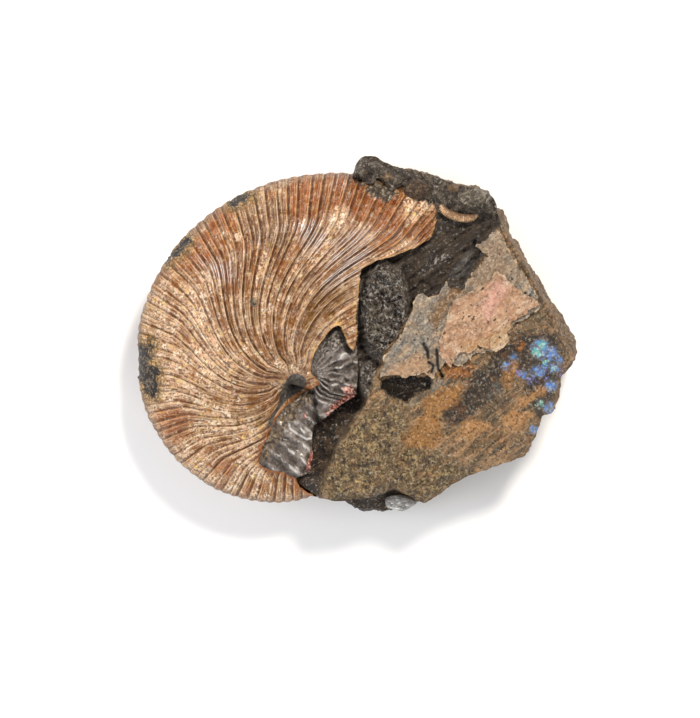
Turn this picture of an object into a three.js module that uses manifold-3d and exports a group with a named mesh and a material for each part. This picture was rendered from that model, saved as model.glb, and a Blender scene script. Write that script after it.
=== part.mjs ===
// An ammonite fossil, lying on its side in the broken rock that it was found in.
// A tightly coiled, ribbed shell fills the left. Its last whorl has broken away, which bares
// the inside cast round the navel. On the right the rock ends in a broad face with sheets
// of mother-of-pearl on it. Millimetres, +Z up, X and Y across the flank as seen from above.

import * as THREE from "three";
import { mergeVertices } from "three/addons/utils/BufferGeometryUtils.js";
import Module from "manifold-3d";

const wasm = await Module();
wasm.setup();

// Clearance left between pieces that touch.
const GAP = 0.3;

// The coil: its axis, its mid plane, and the venter's radius where the coil points to -X.
const COIL_X = -13.1;
const COIL_Y = -9.9;
const COIL_Z = 12;
const VENTER_RADIUS = 30.6;
// The spiral grows clockwise: ln(radius) gains these per radian and per radian squared.
const SPIRAL_RATE = 0.181;
const SPIRAL_ACCELERATION = 0.00716;
// Half the whorl's thickness where the coil points to -X, and what it gains per radian.
const HALF_THICKNESS = 8.0;
const THICKENING = 1.0;

// The whorl's section from the axis to the venter: share of the radius, share of the height.
const SECTION = [
  [0, 0.4],
  [0.07, 0.8],
  [0.17, 0.93],
  [0.33, 1],
  [0.52, 0.955],
  [0.7, 0.82],
  [0.84, 0.61],
  [0.95, 0.32],
  [1, 0.1],
];

// Ribs: how many per radian where the coil points to -X, and what that gains per radian.
const RIBS_PER_RADIAN = 15.05;
const RIB_CROWDING = 1.43;
const FIRST_RIB = -34;
const LAST_RIB = 60;
const RIB_DEPTH = 0.55;
// Near the navel a rib lags this far behind its place on the venter.
const RIB_SWEEP = THREE.MathUtils.degToRad(31);
const SWEEP_FROM = 0.15;
const SWEEP_TO = 0.8;
// The rock's room for the whorl is plain, in so many columns, and has this much more slack.
const ROOM_COLUMNS = 60;
const ROOM_SLACK = 0.12;
// Every fourth groove runs in to the navel, every second to mid flank, the rest stop early.
const GROOVE_REACH = [0.1, 0.55, 0.34, 0.6];
const GROOVE_FADE = 0.2;

// Where the last whorl broke off, from the venter down to the navel.
const BREAK_EDGE = [
  [17.7, 29.3],
  [15.9, 25.7],
  [14.5, 18.9],
  [7.5, 15.7],
  [0.9, 13.3],
  [-0.1, 6.9],
  [-3.3, 2.5],
  [-5.5, 0.3],
  [-7.9, -3.1],
  [-9.1, -5.7],
  [-8.3, -8.7],
];
// The strip of bare cast below the navel: its left side and its right side, going round.
const CAST_LEFT = [
  [-10.7, -11.3],
  [-13.9, -14.5],
  [-16.5, -17.9],
  [-17.9, -21.5],
  [-19.7, -25.7],
  [-17.7, -27.1],
  [-14.9, -27.5],
  [-12.3, -28.7],
];
const CAST_RIGHT = [
  [-9.5, -27.5],
  [-8.9, -24.3],
  [-9.1, -20.7],
  [-8.7, -18.1],
  [-7.1, -17.1],
  [-3.7, -14.3],
  [-0.3, -12.1],
  [0.1, -8.1],
  [-0.1, -2.1],
];
const CAST_OUTLINE = [...BREAK_EDGE.slice(5), ...CAST_LEFT, ...CAST_RIGHT];
const CAST_BOTTOM = 12;
const CAST_HEIGHT = 20.1;
const CAST_RISE = { height: 1.2, fromY: -16, toY: 0 };
const CAST_FALL = { height: 0.9, fromY: -28, toY: -18 };
const CAST_FOLD = { height: 0.3, waveX: 0.95, waveY: 1.9 };
const CAST_CELL = 2.4;

// The rock's outlines, all counter to the clock: the top's edge, the widest, and the ledge.
const ROCK_X = 13.5;
const ROCK_Y = -1.1;
const ROCK_UNDER_SHELL = [
  [-5.1, 23.9],
  [-9.1, 14.5],
  [-12.3, 4.9],
  [-14.3, -5.1],
  [-14.7, -15.1],
  [-13.5, -24.1],
  [-11.5, -29.9],
];
const ROCK_RIGHT_TOP = [
  [42.9, -4.9],
  [41.5, -1.9],
  [38.3, 4.7],
  [34.3, 11.9],
  [30.3, 18.9],
  [28.3, 22.7],
];
const ROCK_RIGHT_WIDE = [
  [43.5, -5.3],
  [44.3, -3.5],
  [43.9, -1.7],
  [40.9, 3.9],
  [37.1, 9.9],
  [33.3, 15.9],
  [30.3, 20.5],
  [29.9, 23.7],
];
const ROCK_CREST = [
  [27.5, 25.5],
  [25.9, 28.5],
  [23.7, 29.3],
  [17.7, 30.7],
  [14.5, 32.1],
  [9.1, 33.3],
  [5.3, 34.3],
  [3.6, 35.8],
  [1.3, 35.8],
  [-0.4, 33.9],
  [-1.5, 30.5],
];
const ROCK_LOWER_RIGHT = [
  [13.3, -33.7],
  [18.1, -30.5],
  [22.1, -28.1],
  [27.9, -26.1],
  [33.3, -24.3],
  [35.7, -20.3],
  [36.7, -16.5],
  [38.7, -15.7],
  [40.3, -12.3],
  [40.5, -8.5],
];
const ROCK_NOTCH = [
  [-7.9, -32.3],
  [-4.5, -33.3],
  [0.5, -32.9],
  [5.3, -31.7],
  [7.1, -30.5],
  [9.5, -31.9],
];
const ROCK_LEDGE = [
  [-7.9, -32.5],
  [-2.7, -33.6],
  [-0.6, -34.9],
  [2.1, -35.7],
  [4.9, -35.9],
  [7.9, -35.5],
  [10.7, -35],
];
const TOP_OUTLINE = [ROCK_UNDER_SHELL, ROCK_NOTCH, ROCK_LOWER_RIGHT, ROCK_RIGHT_TOP, ROCK_CREST].flat();
const WIDE_OUTLINE = [ROCK_UNDER_SHELL, ROCK_NOTCH, ROCK_LOWER_RIGHT, ROCK_RIGHT_WIDE, ROCK_CREST].flat();
const LEDGE_OUTLINE = [ROCK_UNDER_SHELL, ROCK_LEDGE, ROCK_LOWER_RIGHT, ROCK_RIGHT_WIDE, ROCK_CREST].flat();

// The rock's wall, from the top's edge to the ground: outline, how far it is drawn in, and
// its height as a share of the edge's height.
const WALL_LEVELS = [
  { outline: WIDE_OUTLINE, inset: 0, height: 0.8 },
  { outline: WIDE_OUTLINE, inset: 0.7, height: 0.52 },
  { outline: LEDGE_OUTLINE, inset: 0.7, height: 0.45 },
  { outline: LEDGE_OUTLINE, inset: 1.1, height: 0.2 },
  { outline: LEDGE_OUTLINE, inset: 2.6, height: 0 },
];
const WALL_ROUGHNESS = 0.5;
const ROCK_SPOKES = 72;
const TOP_RINGS = 10;
const BASE_RINGS = 2;
const EDGE_DROP = 1.1;
const EDGE_WIDTH = 2.2;

// The face on the right: a tilted plane with a trough across it and a sugary hollow.
const FACE = { x: 20, y: -5, height: 20.5, slopeX: -0.04, slopeY: 0.07, dips: 0.25 };
const TROUGH = [
  [34.5, -1],
  [28.8, -7],
  [21.5, -13],
  [14.5, -17.5],
];
const TROUGH_DEPTH = 1.2;
const TROUGH_HALF_WIDTH = 3.2;
const SMOOTH_ABOVE_Y = -3;
const RUGGED_BELOW_Y = -9;
const HOLLOW = { x: 8.5, y: -10.3, halfWidth: 5.4, halfLength: 2.3, depth: 1.2 };

// The low ground left of the face: a valley that deepens into a groove beside the cast,
// a lump, and the rim behind the shell. The scarp is the step up to the face.
const SCARP = [
  [36, 29.5],
  [29.1, 24.1],
  [25.7, 19.3],
  [20.9, 16.9],
  [18.1, 13.3],
  [15.7, 10.5],
  [12.1, 8.5],
  [10.1, 3.3],
  [7.7, -0.7],
  [5.3, -3.5],
  [3.7, -7.5],
  [1.9, -12.5],
  [-1, -17],
  [-3.9, -22],
  [-6.3, -27],
  [-7.4, -33],
  [-9, -40],
];
const VALLEY_HEIGHT = 17.2;
const GROOVE = { height: 13, fromY: -14, toY: -6 };
const LUMP = { x: 4.6, y: 4.6, halfWidth: 4.6, halfLength: 9.6, height: 21.4 };
const RIM = [
  [-0.7, 31.5],
  [5.5, 31.9],
  [12.5, 30.1],
  [19.5, 28.1],
  [26.1, 26.3],
];
const RIM_HEIGHT = 18.2;
const RIM_CLIMB = 0.1;
const RIM_HALF_WIDTH = 4.2;
const LOW_GROUND_CELL = 2.5;

// Mother-of-pearl left on the face: a broad lower layer, and a second layer on that.
const PEARL_OUTLINE = [
  [28.1, 22.3],
  [29.1, 19.7],
  [31.5, 14.9],
  [34.5, 9.1],
  [36.5, 5.3],
  [33.7, 3.3],
  [30.9, 1.7],
  [29.5, -1.1],
  [26.9, -3.5],
  [22.9, -3.5],
  [20.9, -6.3],
  [17.3, -5.5],
  [14.9, -9.9],
  [13.3, -7.5],
  [9.5, -8.7],
  [6.9, -7.5],
  [4.6, -7.6],
  [5.4, -4.5],
  [7.5, -2.1],
  [9.6, 2.1],
  [11.2, 6.1],
  [12.2, 8.2],
  [14.1, 8.5],
  [16.3, 10.2],
  [17.4, 9.3],
  [19.6, 12.2],
  [21.4, 15.6],
  [25.7, 18.2],
];
const PEARL_UPPER_OUTLINE = [
  [18.9, 6.5],
  [23.3, 8.5],
  [26.5, 10.9],
  [29.7, 10.1],
  [32.5, 6.9],
  [34.9, 4.7],
  [30.9, 2.5],
  [29.3, -0.7],
  [26.1, -3.3],
  [22.5, -3.9],
  [20.1, -3.5],
  [16.5, -5.1],
  [14.9, -3.1],
  [15.7, 0.9],
  [17.7, 3.3],
];
const PEARL_THICKNESS = 0.7;
const PEARL_UPPER_THICKNESS = 0.5;

// A scrap of another, finely ribbed shell at the foot of the rim, and a pale chip below.
const SCRAP_PATH = [
  [17.1, 25.9],
  [18.3, 24.9],
  [19.9, 24.1],
  [21.9, 23.8],
  [23.9, 24.7],
];
const SCRAP_RADIUS = 0.75;
const SCRAP_RIB_HEIGHT = 0.1;
const SCRAP_RIBS = 9;
const SCRAP_SIDES = 6;
const CHIP = { x: 8.6, y: -33.3, z: 8.9, halfLength: 2.9, halfWidth: 1.6, halfHeight: 1.7 };

const TALL = 40;
const FAR = 70;

// Geometry to solid and back

function solidOf(geometry) {
  const bare = geometry.index ? geometry.toNonIndexed() : geometry.clone();
  bare.deleteAttribute("normal");
  bare.deleteAttribute("uv");
  const merged = mergeVertices(bare, 1e-4);
  const corners = [];
  for (let i = 0; i < merged.index.count; i += 3) {
    const [a, b, c] = [0, 1, 2].map((k) => merged.index.getX(i + k));
    if (a !== b && b !== c && c !== a) corners.push(a, b, c);
  }
  return new wasm.Manifold(
    new wasm.Mesh({
      numProp: 3,
      vertProperties: new Float32Array(merged.attributes.position.array),
      triVerts: new Uint32Array(corners),
    }),
  );
}

function largestBody(solid) {
  return solid.decompose().reduce((best, body) => (body.volume() > best.volume() ? body : best));
}

function meshOf(name, solid, colour, roughness, metalness) {
  const made = largestBody(solid).getMesh();
  const geometry = new THREE.BufferGeometry();
  geometry.setAttribute("position", new THREE.BufferAttribute(made.vertProperties, made.numProp));
  geometry.setIndex(new THREE.BufferAttribute(made.triVerts, 1));
  geometry.computeVertexNormals();
  const mesh = new THREE.Mesh(
    geometry,
    new THREE.MeshStandardMaterial({ color: colour, roughness, metalness }),
  );
  mesh.name = name;
  return mesh;
}

// Moves every vertex of a geometry to where place(vertex) says.
function shaped(geometry, place) {
  const position = geometry.attributes.position;
  const vertex = new THREE.Vector3();
  for (let i = 0; i < position.count; i++) {
    vertex.fromBufferAttribute(position, i);
    position.setXYZ(i, ...place(vertex));
  }
  return geometry;
}

// An outline raised from one height to another.
function raised(outline, bottom, top) {
  const shape = new THREE.Shape(outline.map(([x, y]) => new THREE.Vector2(x, y)));
  const extruded = new THREE.ExtrudeGeometry(shape, { depth: top - bottom, bevelEnabled: false });
  return extruded.translate(0, 0, bottom);
}

const prism = (outline, bottom, top) => solidOf(raised(outline, bottom, top));

// The outline moved outwards by a distance, or inwards if it is negative.
function offsetOutline(outline, distance) {
  const turn = THREE.ShapeUtils.isClockWise(outline.map(([x, y]) => ({ x, y }))) ? -1 : 1;
  const point = (i) => new THREE.Vector2(...outline[(i + outline.length) % outline.length]);
  return outline.map((_, i) => {
    const before = point(i).sub(point(i - 1)).normalize();
    const after = point(i + 1).sub(point(i)).normalize();
    const along = before.clone().add(after).normalize();
    const reach = distance / Math.max(0.5, along.dot(before));
    const moved = point(i).add(new THREE.Vector2(along.y, -along.x).multiplyScalar(turn * reach));
    return [moved.x, moved.y];
  });
}

function distanceToLine(x, y, line) {
  let nearest = Infinity;
  for (let i = 0; i + 1 < line.length; i++) {
    const [ax, ay] = line[i];
    const [dx, dy] = [line[i + 1][0] - ax, line[i + 1][1] - ay];
    const along = ((x - ax) * dx + (y - ay) * dy) / (dx * dx + dy * dy);
    const share = THREE.MathUtils.clamp(along, 0, 1);
    nearest = Math.min(nearest, Math.hypot(x - ax - share * dx, y - ay - share * dy));
  }
  return nearest;
}

// A box split into square cells, as wide and long as asked.
function cellBox(width, length, cell) {
  return new THREE.BoxGeometry(width, length, 1, Math.round(width / cell), Math.round(length / cell), 1);
}

// The shell

const venterRadius = (angle) =>
  VENTER_RADIUS * Math.exp(SPIRAL_RATE * angle + SPIRAL_ACCELERATION * angle * angle);

const halfThickness = (angle) => HALF_THICKNESS + THICKENING * angle;

// The growth angle at which a given rib, counted from where the coil points to -X, crosses
// the venter.
function ribAngle(rib) {
  const b = RIBS_PER_RADIAN;
  return (Math.sqrt(b * b + 2 * RIB_CROWDING * rib) - b) / RIB_CROWDING;
}

const sweepAt = (share) => -RIB_SWEEP * (1 - THREE.MathUtils.smoothstep(share, SWEEP_FROM, SWEEP_TO));

function grooveDepth(column, share) {
  if (column % 2) return 0;
  const rib = FIRST_RIB + column / 2;
  const reach = GROOVE_REACH[((rib % 4) + 4) % 4];
  return RIB_DEPTH * THREE.MathUtils.smoothstep(share, reach, reach + GROOVE_FADE);
}

// Where a point of the whorl lies: its share of the way from the axis to the venter, its
// column counted in half ribs, and the section's height there; side is 1 above, -1 below.
function whorlPoint(column, [share, height], side, grow, groove) {
  const angle = ribAngle(FIRST_RIB + column / 2) + sweepAt(share);
  const outward = share ** 4;
  const radius = share > 0 ? share * venterRadius(angle) + (grow - groove) * outward : 0;
  const half = share > 0 ? halfThickness(angle) : HALF_THICKNESS;
  const rise = half * height + (grow - groove) * (1 - outward);
  return [
    COIL_X - radius * Math.cos(angle),
    COIL_Y + radius * Math.sin(angle),
    COIL_Z + side * rise,
  ];
}

const WHORL_COLUMNS = 2 * (LAST_RIB - FIRST_RIB);

function whorl() {
  const rows = SECTION.length - 1;
  const box = new THREE.BoxGeometry(1, 1, 1, WHORL_COLUMNS, rows, 1);
  const placed = shaped(box, ({ x, y, z }) => {
    const column = Math.round((x + 0.5) * WHORL_COLUMNS);
    const row = SECTION[Math.round((y + 0.5) * rows)];
    return whorlPoint(column, row, Math.sign(z), 0, grooveDepth(column, row[0]));
  });
  return solidOf(placed);
}

// The room the whorl takes in the rock: its lower half moved out by the gap and half a rib
// longer at both ends, open above.
function whorlRoom() {
  const rows = SECTION.length - 1;
  const box = new THREE.BoxGeometry(1, 1, 1, ROOM_COLUMNS, rows, 1);
  const placed = shaped(box, ({ x, y, z }) => {
    const column = (x + 0.5) * (WHORL_COLUMNS + 2) - 1;
    const row = SECTION[Math.round((y + 0.5) * rows)];
    const [px, py, pz] = whorlPoint(column, row, -1, GAP + ROOM_SLACK, 0);
    return [px, py, z > 0 ? TALL : pz];
  });
  return solidOf(placed);
}

// Everything left of the break and of the bare cast, and what lies under the cast, moved
// out by grow.
function keptSide(grow) {
  const outline = [
    ...BREAK_EDGE,
    ...CAST_LEFT,
    [-8.6, -31.5],
    [-8.0, -FAR],
    [-FAR, -FAR],
    [-FAR, FAR],
    [17.7, FAR],
  ];
  const beside = prism(offsetOutline(outline, grow), -TALL, 2 * TALL);
  const under = prism(offsetOutline(CAST_OUTLINE, grow), -TALL, CAST_BOTTOM - GAP);
  return beside.add(under);
}

// The bare cast of the last whorl, round the navel

// The cast is highest beside the shell's broken edge and falls towards the groove.
function castTop(x, y) {
  const { smoothstep } = THREE.MathUtils;
  const rise = CAST_RISE.height * smoothstep(y, CAST_RISE.fromY, CAST_RISE.toY);
  const fall = CAST_FALL.height * (1 - smoothstep(y, CAST_FALL.fromY, CAST_FALL.toY));
  const fold = CAST_FOLD.height * Math.sin(CAST_FOLD.waveX * x + CAST_FOLD.waveY * y);
  return CAST_HEIGHT + rise - fall + fold;
}

function innerCast() {
  const box = cellBox(24, 38, CAST_CELL).translate(-9.5, -11, 0);
  const block = solidOf(shaped(box, ({ x, y, z }) => [x, y, z > 0 ? castTop(x, y) : CAST_BOTTOM]));
  return block.intersect(prism(offsetOutline(CAST_OUTLINE, -GAP), 0, TALL));
}

// The rock

function faceHeight(x, y) {
  return FACE.height + FACE.slopeX * (x - FACE.x) + FACE.slopeY * (y - FACE.y);
}

// Distance from the rock's middle to an outline, in the direction of an angle.
function outlineRadius(outline, angle) {
  const [dx, dy] = [Math.cos(angle), Math.sin(angle)];
  let farthest = 0;
  outline.forEach(([ax, ay], i) => {
    const [bx, by] = outline[(i + 1) % outline.length];
    const [px, py] = [ax - ROCK_X, ay - ROCK_Y];
    const [ex, ey] = [bx - ax, by - ay];
    const cross = dx * ey - dy * ex;
    const reach = (px * ey - py * ex) / cross;
    const share = (px * dy - py * dx) / cross;
    if (reach > 0 && share >= 0 && share <= 1) farthest = Math.max(farthest, reach);
  });
  return farthest;
}

// How far the top is rounded down near its edge.
function edgeDrop(x, y) {
  const angle = Math.atan2(y - ROCK_Y, x - ROCK_X);
  const inside = outlineRadius(TOP_OUTLINE, angle) - Math.hypot(x - ROCK_X, y - ROCK_Y);
  return EDGE_DROP * (1 - THREE.MathUtils.smoothstep(inside, 0, EDGE_WIDTH));
}

// One near the middle of an oval, nought outside it.
function inOval(x, y, { x: cx, y: cy, halfWidth, halfLength }, from, to) {
  const share = Math.hypot((x - cx) / halfWidth, (y - cy) / halfLength);
  return 1 - THREE.MathUtils.smoothstep(share, from, to);
}

function faceTop(x, y) {
  const { smoothstep } = THREE.MathUtils;
  const rugged = 1 - smoothstep(y, RUGGED_BELOW_Y, SMOOTH_ABOVE_Y);
  const dips = FACE.dips * (Math.sin(0.9 * x + 0.3 * y) + Math.sin(0.5 * x - 1.1 * y) - 2);
  const trough = TROUGH_DEPTH * (1 - smoothstep(distanceToLine(x, y, TROUGH), 0, TROUGH_HALF_WIDTH));
  return faceHeight(x, y) + rugged * dips - trough - edgeDrop(x, y);
}

function lowGround(x, y) {
  const { smoothstep, lerp } = THREE.MathUtils;
  const valley = lerp(GROOVE.height, VALLEY_HEIGHT, smoothstep(y, GROOVE.fromY, GROOVE.toY));
  const lumped = lerp(valley, LUMP.height, inOval(x, y, LUMP, 0.7, 1.2));
  const fromRim = distanceToLine(x, y, RIM);
  const onRim = 1 - smoothstep(fromRim, 0.3 * RIM_HALF_WIDTH, RIM_HALF_WIDTH);
  return lerp(lumped, RIM_HEIGHT + RIM_CLIMB * x, onRim) - edgeDrop(x, y);
}

// A sphere's rings become the face, the wall's levels and the flat base.
function rockBlock() {
  const rings = TOP_RINGS + WALL_LEVELS.length + BASE_RINGS;
  const ball = new THREE.SphereGeometry(1, ROCK_SPOKES, rings).rotateX(Math.PI / 2);
  const placed = shaped(ball, ({ x, y, z }) => {
    const ring = Math.round((Math.acos(THREE.MathUtils.clamp(z, -1, 1)) / Math.PI) * rings);
    const spoke = Math.round((Math.atan2(y, x) / (2 * Math.PI) + 1) * ROCK_SPOKES) % ROCK_SPOKES;
    const angle = (spoke / ROCK_SPOKES) * 2 * Math.PI;
    const point = (radius) => [ROCK_X + radius * Math.cos(angle), ROCK_Y + radius * Math.sin(angle)];
    const edgeRadius = outlineRadius(TOP_OUTLINE, angle);
    if (ring <= TOP_RINGS) {
      const spot = point((edgeRadius * ring) / TOP_RINGS);
      return [...spot, faceTop(...spot)];
    }
    const level = WALL_LEVELS[Math.min(ring - TOP_RINGS, WALL_LEVELS.length) - 1];
    const inwards = Math.max(0, ring - TOP_RINGS - WALL_LEVELS.length) / BASE_RINGS;
    const rough = level.inset ? Math.sin(5 * angle + 2 * ring) + Math.sin(13 * angle - 3 * ring) : 0;
    const radius = outlineRadius(level.outline, angle) - level.inset - (WALL_ROUGHNESS / 2) * rough;
    return [...point(radius * (1 - inwards)), level.height * faceTop(...point(edgeRadius))];
  });
  return solidOf(placed);
}

// All that is missing above the low ground.
function aboveLowGround() {
  const box = cellBox(60, 84, LOW_GROUND_CELL).translate(8, 2, 0);
  const block = solidOf(shaped(box, ({ x, y, z }) => [x, y, z > 0 ? TALL : lowGround(x, y)]));
  return block.intersect(prism([...SCARP, [-40, -40], [-40, 44], [36, 44]], 0, TALL));
}

function hollow() {
  const oval = new THREE.SphereGeometry(1, 16, 8);
  oval.scale(HOLLOW.halfWidth, HOLLOW.halfLength, HOLLOW.depth);
  return solidOf(oval.translate(HOLLOW.x, HOLLOW.y, faceHeight(HOLLOW.x, HOLLOW.y)));
}

const rockSolid = largestBody(
  rockBlock()
    .subtract(aboveLowGround())
    .subtract(hollow())
    .subtract(whorlRoom().intersect(keptSide(GAP)))
    .subtract(prism(CAST_OUTLINE, CAST_BOTTOM - GAP, TALL)),
);

// Mother-of-pearl on the face

// A plate that lies on the face, from one height above it to another.
function facePlate(outline, bottom, top) {
  return solidOf(shaped(raised(outline, bottom, top), ({ x, y, z }) => [x, y, z + faceHeight(x, y)]));
}

function pearlSheet() {
  const lowerTop = GAP + PEARL_THICKNESS;
  const upperTop = lowerTop + PEARL_UPPER_THICKNESS;
  return facePlate(PEARL_OUTLINE, GAP, lowerTop).add(facePlate(PEARL_UPPER_OUTLINE, GAP, upperTop));
}

// The ribbed scrap and the pale chip

function ribbedScrap() {
  const path = new THREE.CatmullRomCurve3(
    SCRAP_PATH.map(([x, y]) => new THREE.Vector3(x, y, lowGround(x, y) + GAP + SCRAP_RADIUS)),
  );
  const steps = 2 * SCRAP_RIBS;
  const tube = new THREE.CylinderGeometry(1, 1, 1, SCRAP_SIDES, steps);
  const placed = shaped(tube, ({ x, y, z }) => {
    const share = THREE.MathUtils.clamp(y + 0.5, 0, 1);
    const ring = Math.round(share * steps);
    const along = path.getTangentAt(share);
    const across = new THREE.Vector3(along.y, -along.x, 0).normalize();
    const radius = SCRAP_RADIUS + (ring % 2 ? SCRAP_RIB_HEIGHT : -SCRAP_RIB_HEIGHT);
    const spot = path.getPointAt(share).addScaledVector(across, radius * x);
    return [spot.x, spot.y, spot.z + radius * z];
  });
  return solidOf(placed);
}

function paleChip() {
  const ball = new THREE.SphereGeometry(1, 10, 6).scale(CHIP.halfLength, CHIP.halfWidth, CHIP.halfHeight);
  return solidOf(ball.translate(CHIP.x, CHIP.y, CHIP.z));
}

const clearOfRock = (solid) =>
  solid.subtract(rockSolid.translate(0, 0, GAP)).subtract(rockSolid.translate(0, -GAP, 0));

const fossil = new THREE.Group();
fossil.add(
  meshOf("shell", whorl().intersect(keptSide(0)), 0xb5794a, 0.38, 0.35),
  meshOf("inner_cast", innerCast(), 0x57504c, 0.32, 0.15),
  meshOf("rock", rockSolid, 0x4a4038, 0.85, 0),
  meshOf("pearl_sheet", pearlSheet(), 0xb08a70, 0.45, 0.1),
  meshOf("ribbed_scrap", clearOfRock(ribbedScrap()), 0xc9a273, 0.55, 0),
  meshOf("pale_chip", clearOfRock(paleChip()), 0x9a9792, 0.4, 0),
);

export default fossil;
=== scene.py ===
# An ammonite fossil in its broken rock, lying flat and seen from straight above.
import math

import bmesh
import bpy
import numpy as np
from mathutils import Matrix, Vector, noise


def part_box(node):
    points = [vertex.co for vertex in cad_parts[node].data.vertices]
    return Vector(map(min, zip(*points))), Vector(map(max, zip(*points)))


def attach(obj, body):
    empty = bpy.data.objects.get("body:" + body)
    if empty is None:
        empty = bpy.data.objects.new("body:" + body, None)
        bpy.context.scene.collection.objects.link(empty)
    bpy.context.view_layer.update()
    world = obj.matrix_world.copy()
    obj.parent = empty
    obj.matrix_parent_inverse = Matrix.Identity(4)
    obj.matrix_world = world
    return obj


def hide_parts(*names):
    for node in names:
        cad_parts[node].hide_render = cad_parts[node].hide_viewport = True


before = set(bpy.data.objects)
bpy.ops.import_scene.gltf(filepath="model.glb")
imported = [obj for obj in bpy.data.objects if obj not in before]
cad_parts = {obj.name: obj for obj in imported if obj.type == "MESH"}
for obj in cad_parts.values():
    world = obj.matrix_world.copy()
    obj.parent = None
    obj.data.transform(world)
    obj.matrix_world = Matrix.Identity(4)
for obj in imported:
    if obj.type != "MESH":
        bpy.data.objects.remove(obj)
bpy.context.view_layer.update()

# The shell. One coiled tube of mother-of-pearl, ribbed all round, which grew clockwise as
# seen from above. Its outer layer has weathered to copper and rust; at the left it has
# flaked off to the black stone inside, and its last whorl broke off along a ragged line.

MM = 0.001
COIL_X, COIL_Y, COIL_Z = -13.1, -9.9, 12.0
VENTER_RADIUS = 30.6
VENTER_GROWTH, VENTER_FLARE = 0.181, 0.00716
HALF_THICKNESS = 8.0
FIRST_RIB, LAST_RIB = -34, 66
RIBS_PER_RADIAN, RIB_CROWDING = 15.05, 1.43
COLUMNS_PER_RIB = 10
FLANK_ROWS = 80
HIDDEN_FLANK_ROWS = 28
RIB_SWEEP = math.radians(31)
RIB_CURL = math.radians(11)
GROOVE_DEPTH = 0.26
GROOVE_HALF_WIDTH = 0.26
BARE_DEPTH = 0.35
PIT_DEPTH = 0.5
LIP_HEIGHT = 0.25
FAR = 9.0

BREAK_EDGE = [
    (17.7, 29.3), (17.1, 27.5), (15.9, 25.7), (16.1, 23.7), (14.5, 18.9), (10.9, 17.1), (7.5, 15.7),
    (4.1, 14.7), (0.9, 13.3), (0.3, 10.1), (0.1, 6.9), (-0.3, 3.7), (0.1, 0.9), (-0.3, -1.5),
    (-0.9, -3.5), (-1.7, -2.5), (-2.5, -0.5), (-3.3, 1.3), (-4.5, 2.3), (-5.9, 0.5), (-7.3, -1.5),
    (-8.5, -3.5), (-9.3, -5.9), (-9.1, -7.9),
]
NAVEL_EDGE = [
    (-7.5, -9.9), (-8.9, -10.7), (-10.9, -11.7), (-12.9, -13.1), (-14.5, -14.5), (-15.9, -16.3),
    (-17.1, -18.5), (-18.1, -20.9), (-19.1, -23.3), (-19.7, -25.7), (-17.7, -26.9), (-14.9, -27.5),
    (-12.3, -28.7),
]
SHELL_KEPT = BREAK_EDGE + NAVEL_EDGE + [
    (-11.7, -30.3), (-10.1, -31.6), (-8.3, -32.4), (-7.6, -60), (-70, -60), (-70, 60), (19.0, 60),
]
UNDERSIDE_KEPT = [
    (17.7, 29.3), (2, 6), (-2, -12), (-6.5, -26), (-8.6, -31.5), (-8, -60), (-70, -60), (-70, 60),
    (18, 60),
]
NAVEL_PIT = [
    (-15.7, -13.9), (-15.5, -12.1), (-14.9, -10.5), (-14.1, -8.9), (-12.9, -7.9), (-11.5, -7.9),
    (-10.3, -8.7), (-10.1, -9.9), (-10.9, -10.9), (-12.5, -11.9), (-14.1, -13.1), (-15.5, -14.7),
    (-16.5, -16.3), (-17.3, -18.5), (-18.1, -19.1), (-17.7, -17.1), (-16.7, -15.5),
]

ORANGE = [
    [
        (-14.5, 29.9), (-9.5, 31.7), (-2.5, 32.1), (2.1, 29.3), (6.9, 27.3), (11.5, 26.7),
        (15.7, 26.1), (16.1, 24.5), (14.7, 18.7), (8.5, 15.7), (4.9, 14.5), (2.9, 16.9), (3.3, 20.5),
        (-1.1, 23.3), (-2.5, 25.5), (-6.5, 23.5), (-11.5, 21.9), (-13.5, 22.5), (-14.9, 25.9),
    ],
    [
        (-36.3, 14.1), (-33.9, 16.9), (-31.7, 20.7), (-28.9, 23.9), (-25.9, 25.5), (-23.9, 23.7),
        (-23.5, 21.7), (-25.1, 20.5), (-27.1, 20.9), (-27.1, 17.9), (-26.3, 14.5), (-24.3, 10.9),
        (-24.9, 8.7), (-27.1, 10.7), (-29.5, 13.7), (-31.5, 14.3), (-33.5, 12.7), (-35.7, 12.5),
    ],
    [
        (-39.7, -14.7), (-37.1, -14.1), (-32.5, -15.7), (-33.1, -17.1), (-33.9, -19.5), (-35.5, -21.1),
        (-37.1, -22.1), (-38.3, -20.5), (-39.5, -18.3), (-40.3, -16.1),
    ],
    [(-30.1, -25.7), (-26.5, -24.7), (-24.3, -26.7), (-25.9, -29.1), (-28.7, -27.9)],
]
GREY = [
    [
        (-23.9, 25.5), (-19.1, 27.1), (-14.9, 27.1), (-13.9, 23.9), (-13.5, 19.9), (-14.5, 16.7),
        (-17.5, 16.3), (-19.9, 17.7), (-21.5, 19.7), (-22.9, 22.3),
    ],
    [(-10.9, 13.3), (-8.3, 12.5), (-9.1, 9.3), (-10.9, 8.9), (-11.7, 11.3)],
]
OLIVE = [
    [
        (-10.7, 6.3), (-7.9, 9.9), (-4.5, 12.9), (-1.1, 15.3), (0.3, 13.3), (-0.1, 8.9), (-1.9, 6.3),
        (-4.5, 3.7), (-7.1, 0.7), (-9.1, -1.5), (-10.7, 1.7),
    ],
    [(-22.1, 4.5), (-19.7, 5.3), (-18.9, 3.3), (-20.1, 1.9), (-21.7, 2.3)],
]
OCHRE = [
    [
        (-44.3, 6.9), (-41.5, 7.7), (-38.5, 4.9), (-37.1, -0.1), (-36.9, -5.1), (-38.3, -10.1),
        (-37.5, -14.1), (-39.9, -15.5), (-42.3, -14.1), (-44.3, -9.1),
    ],
    [
        (-30.3, -12.7), (-23.5, -13.1), (-17.1, -15.5), (-17.9, -18.7), (-23.5, -19.5), (-28.7, -22.3),
        (-31.5, -19.1),
    ],
]
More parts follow.
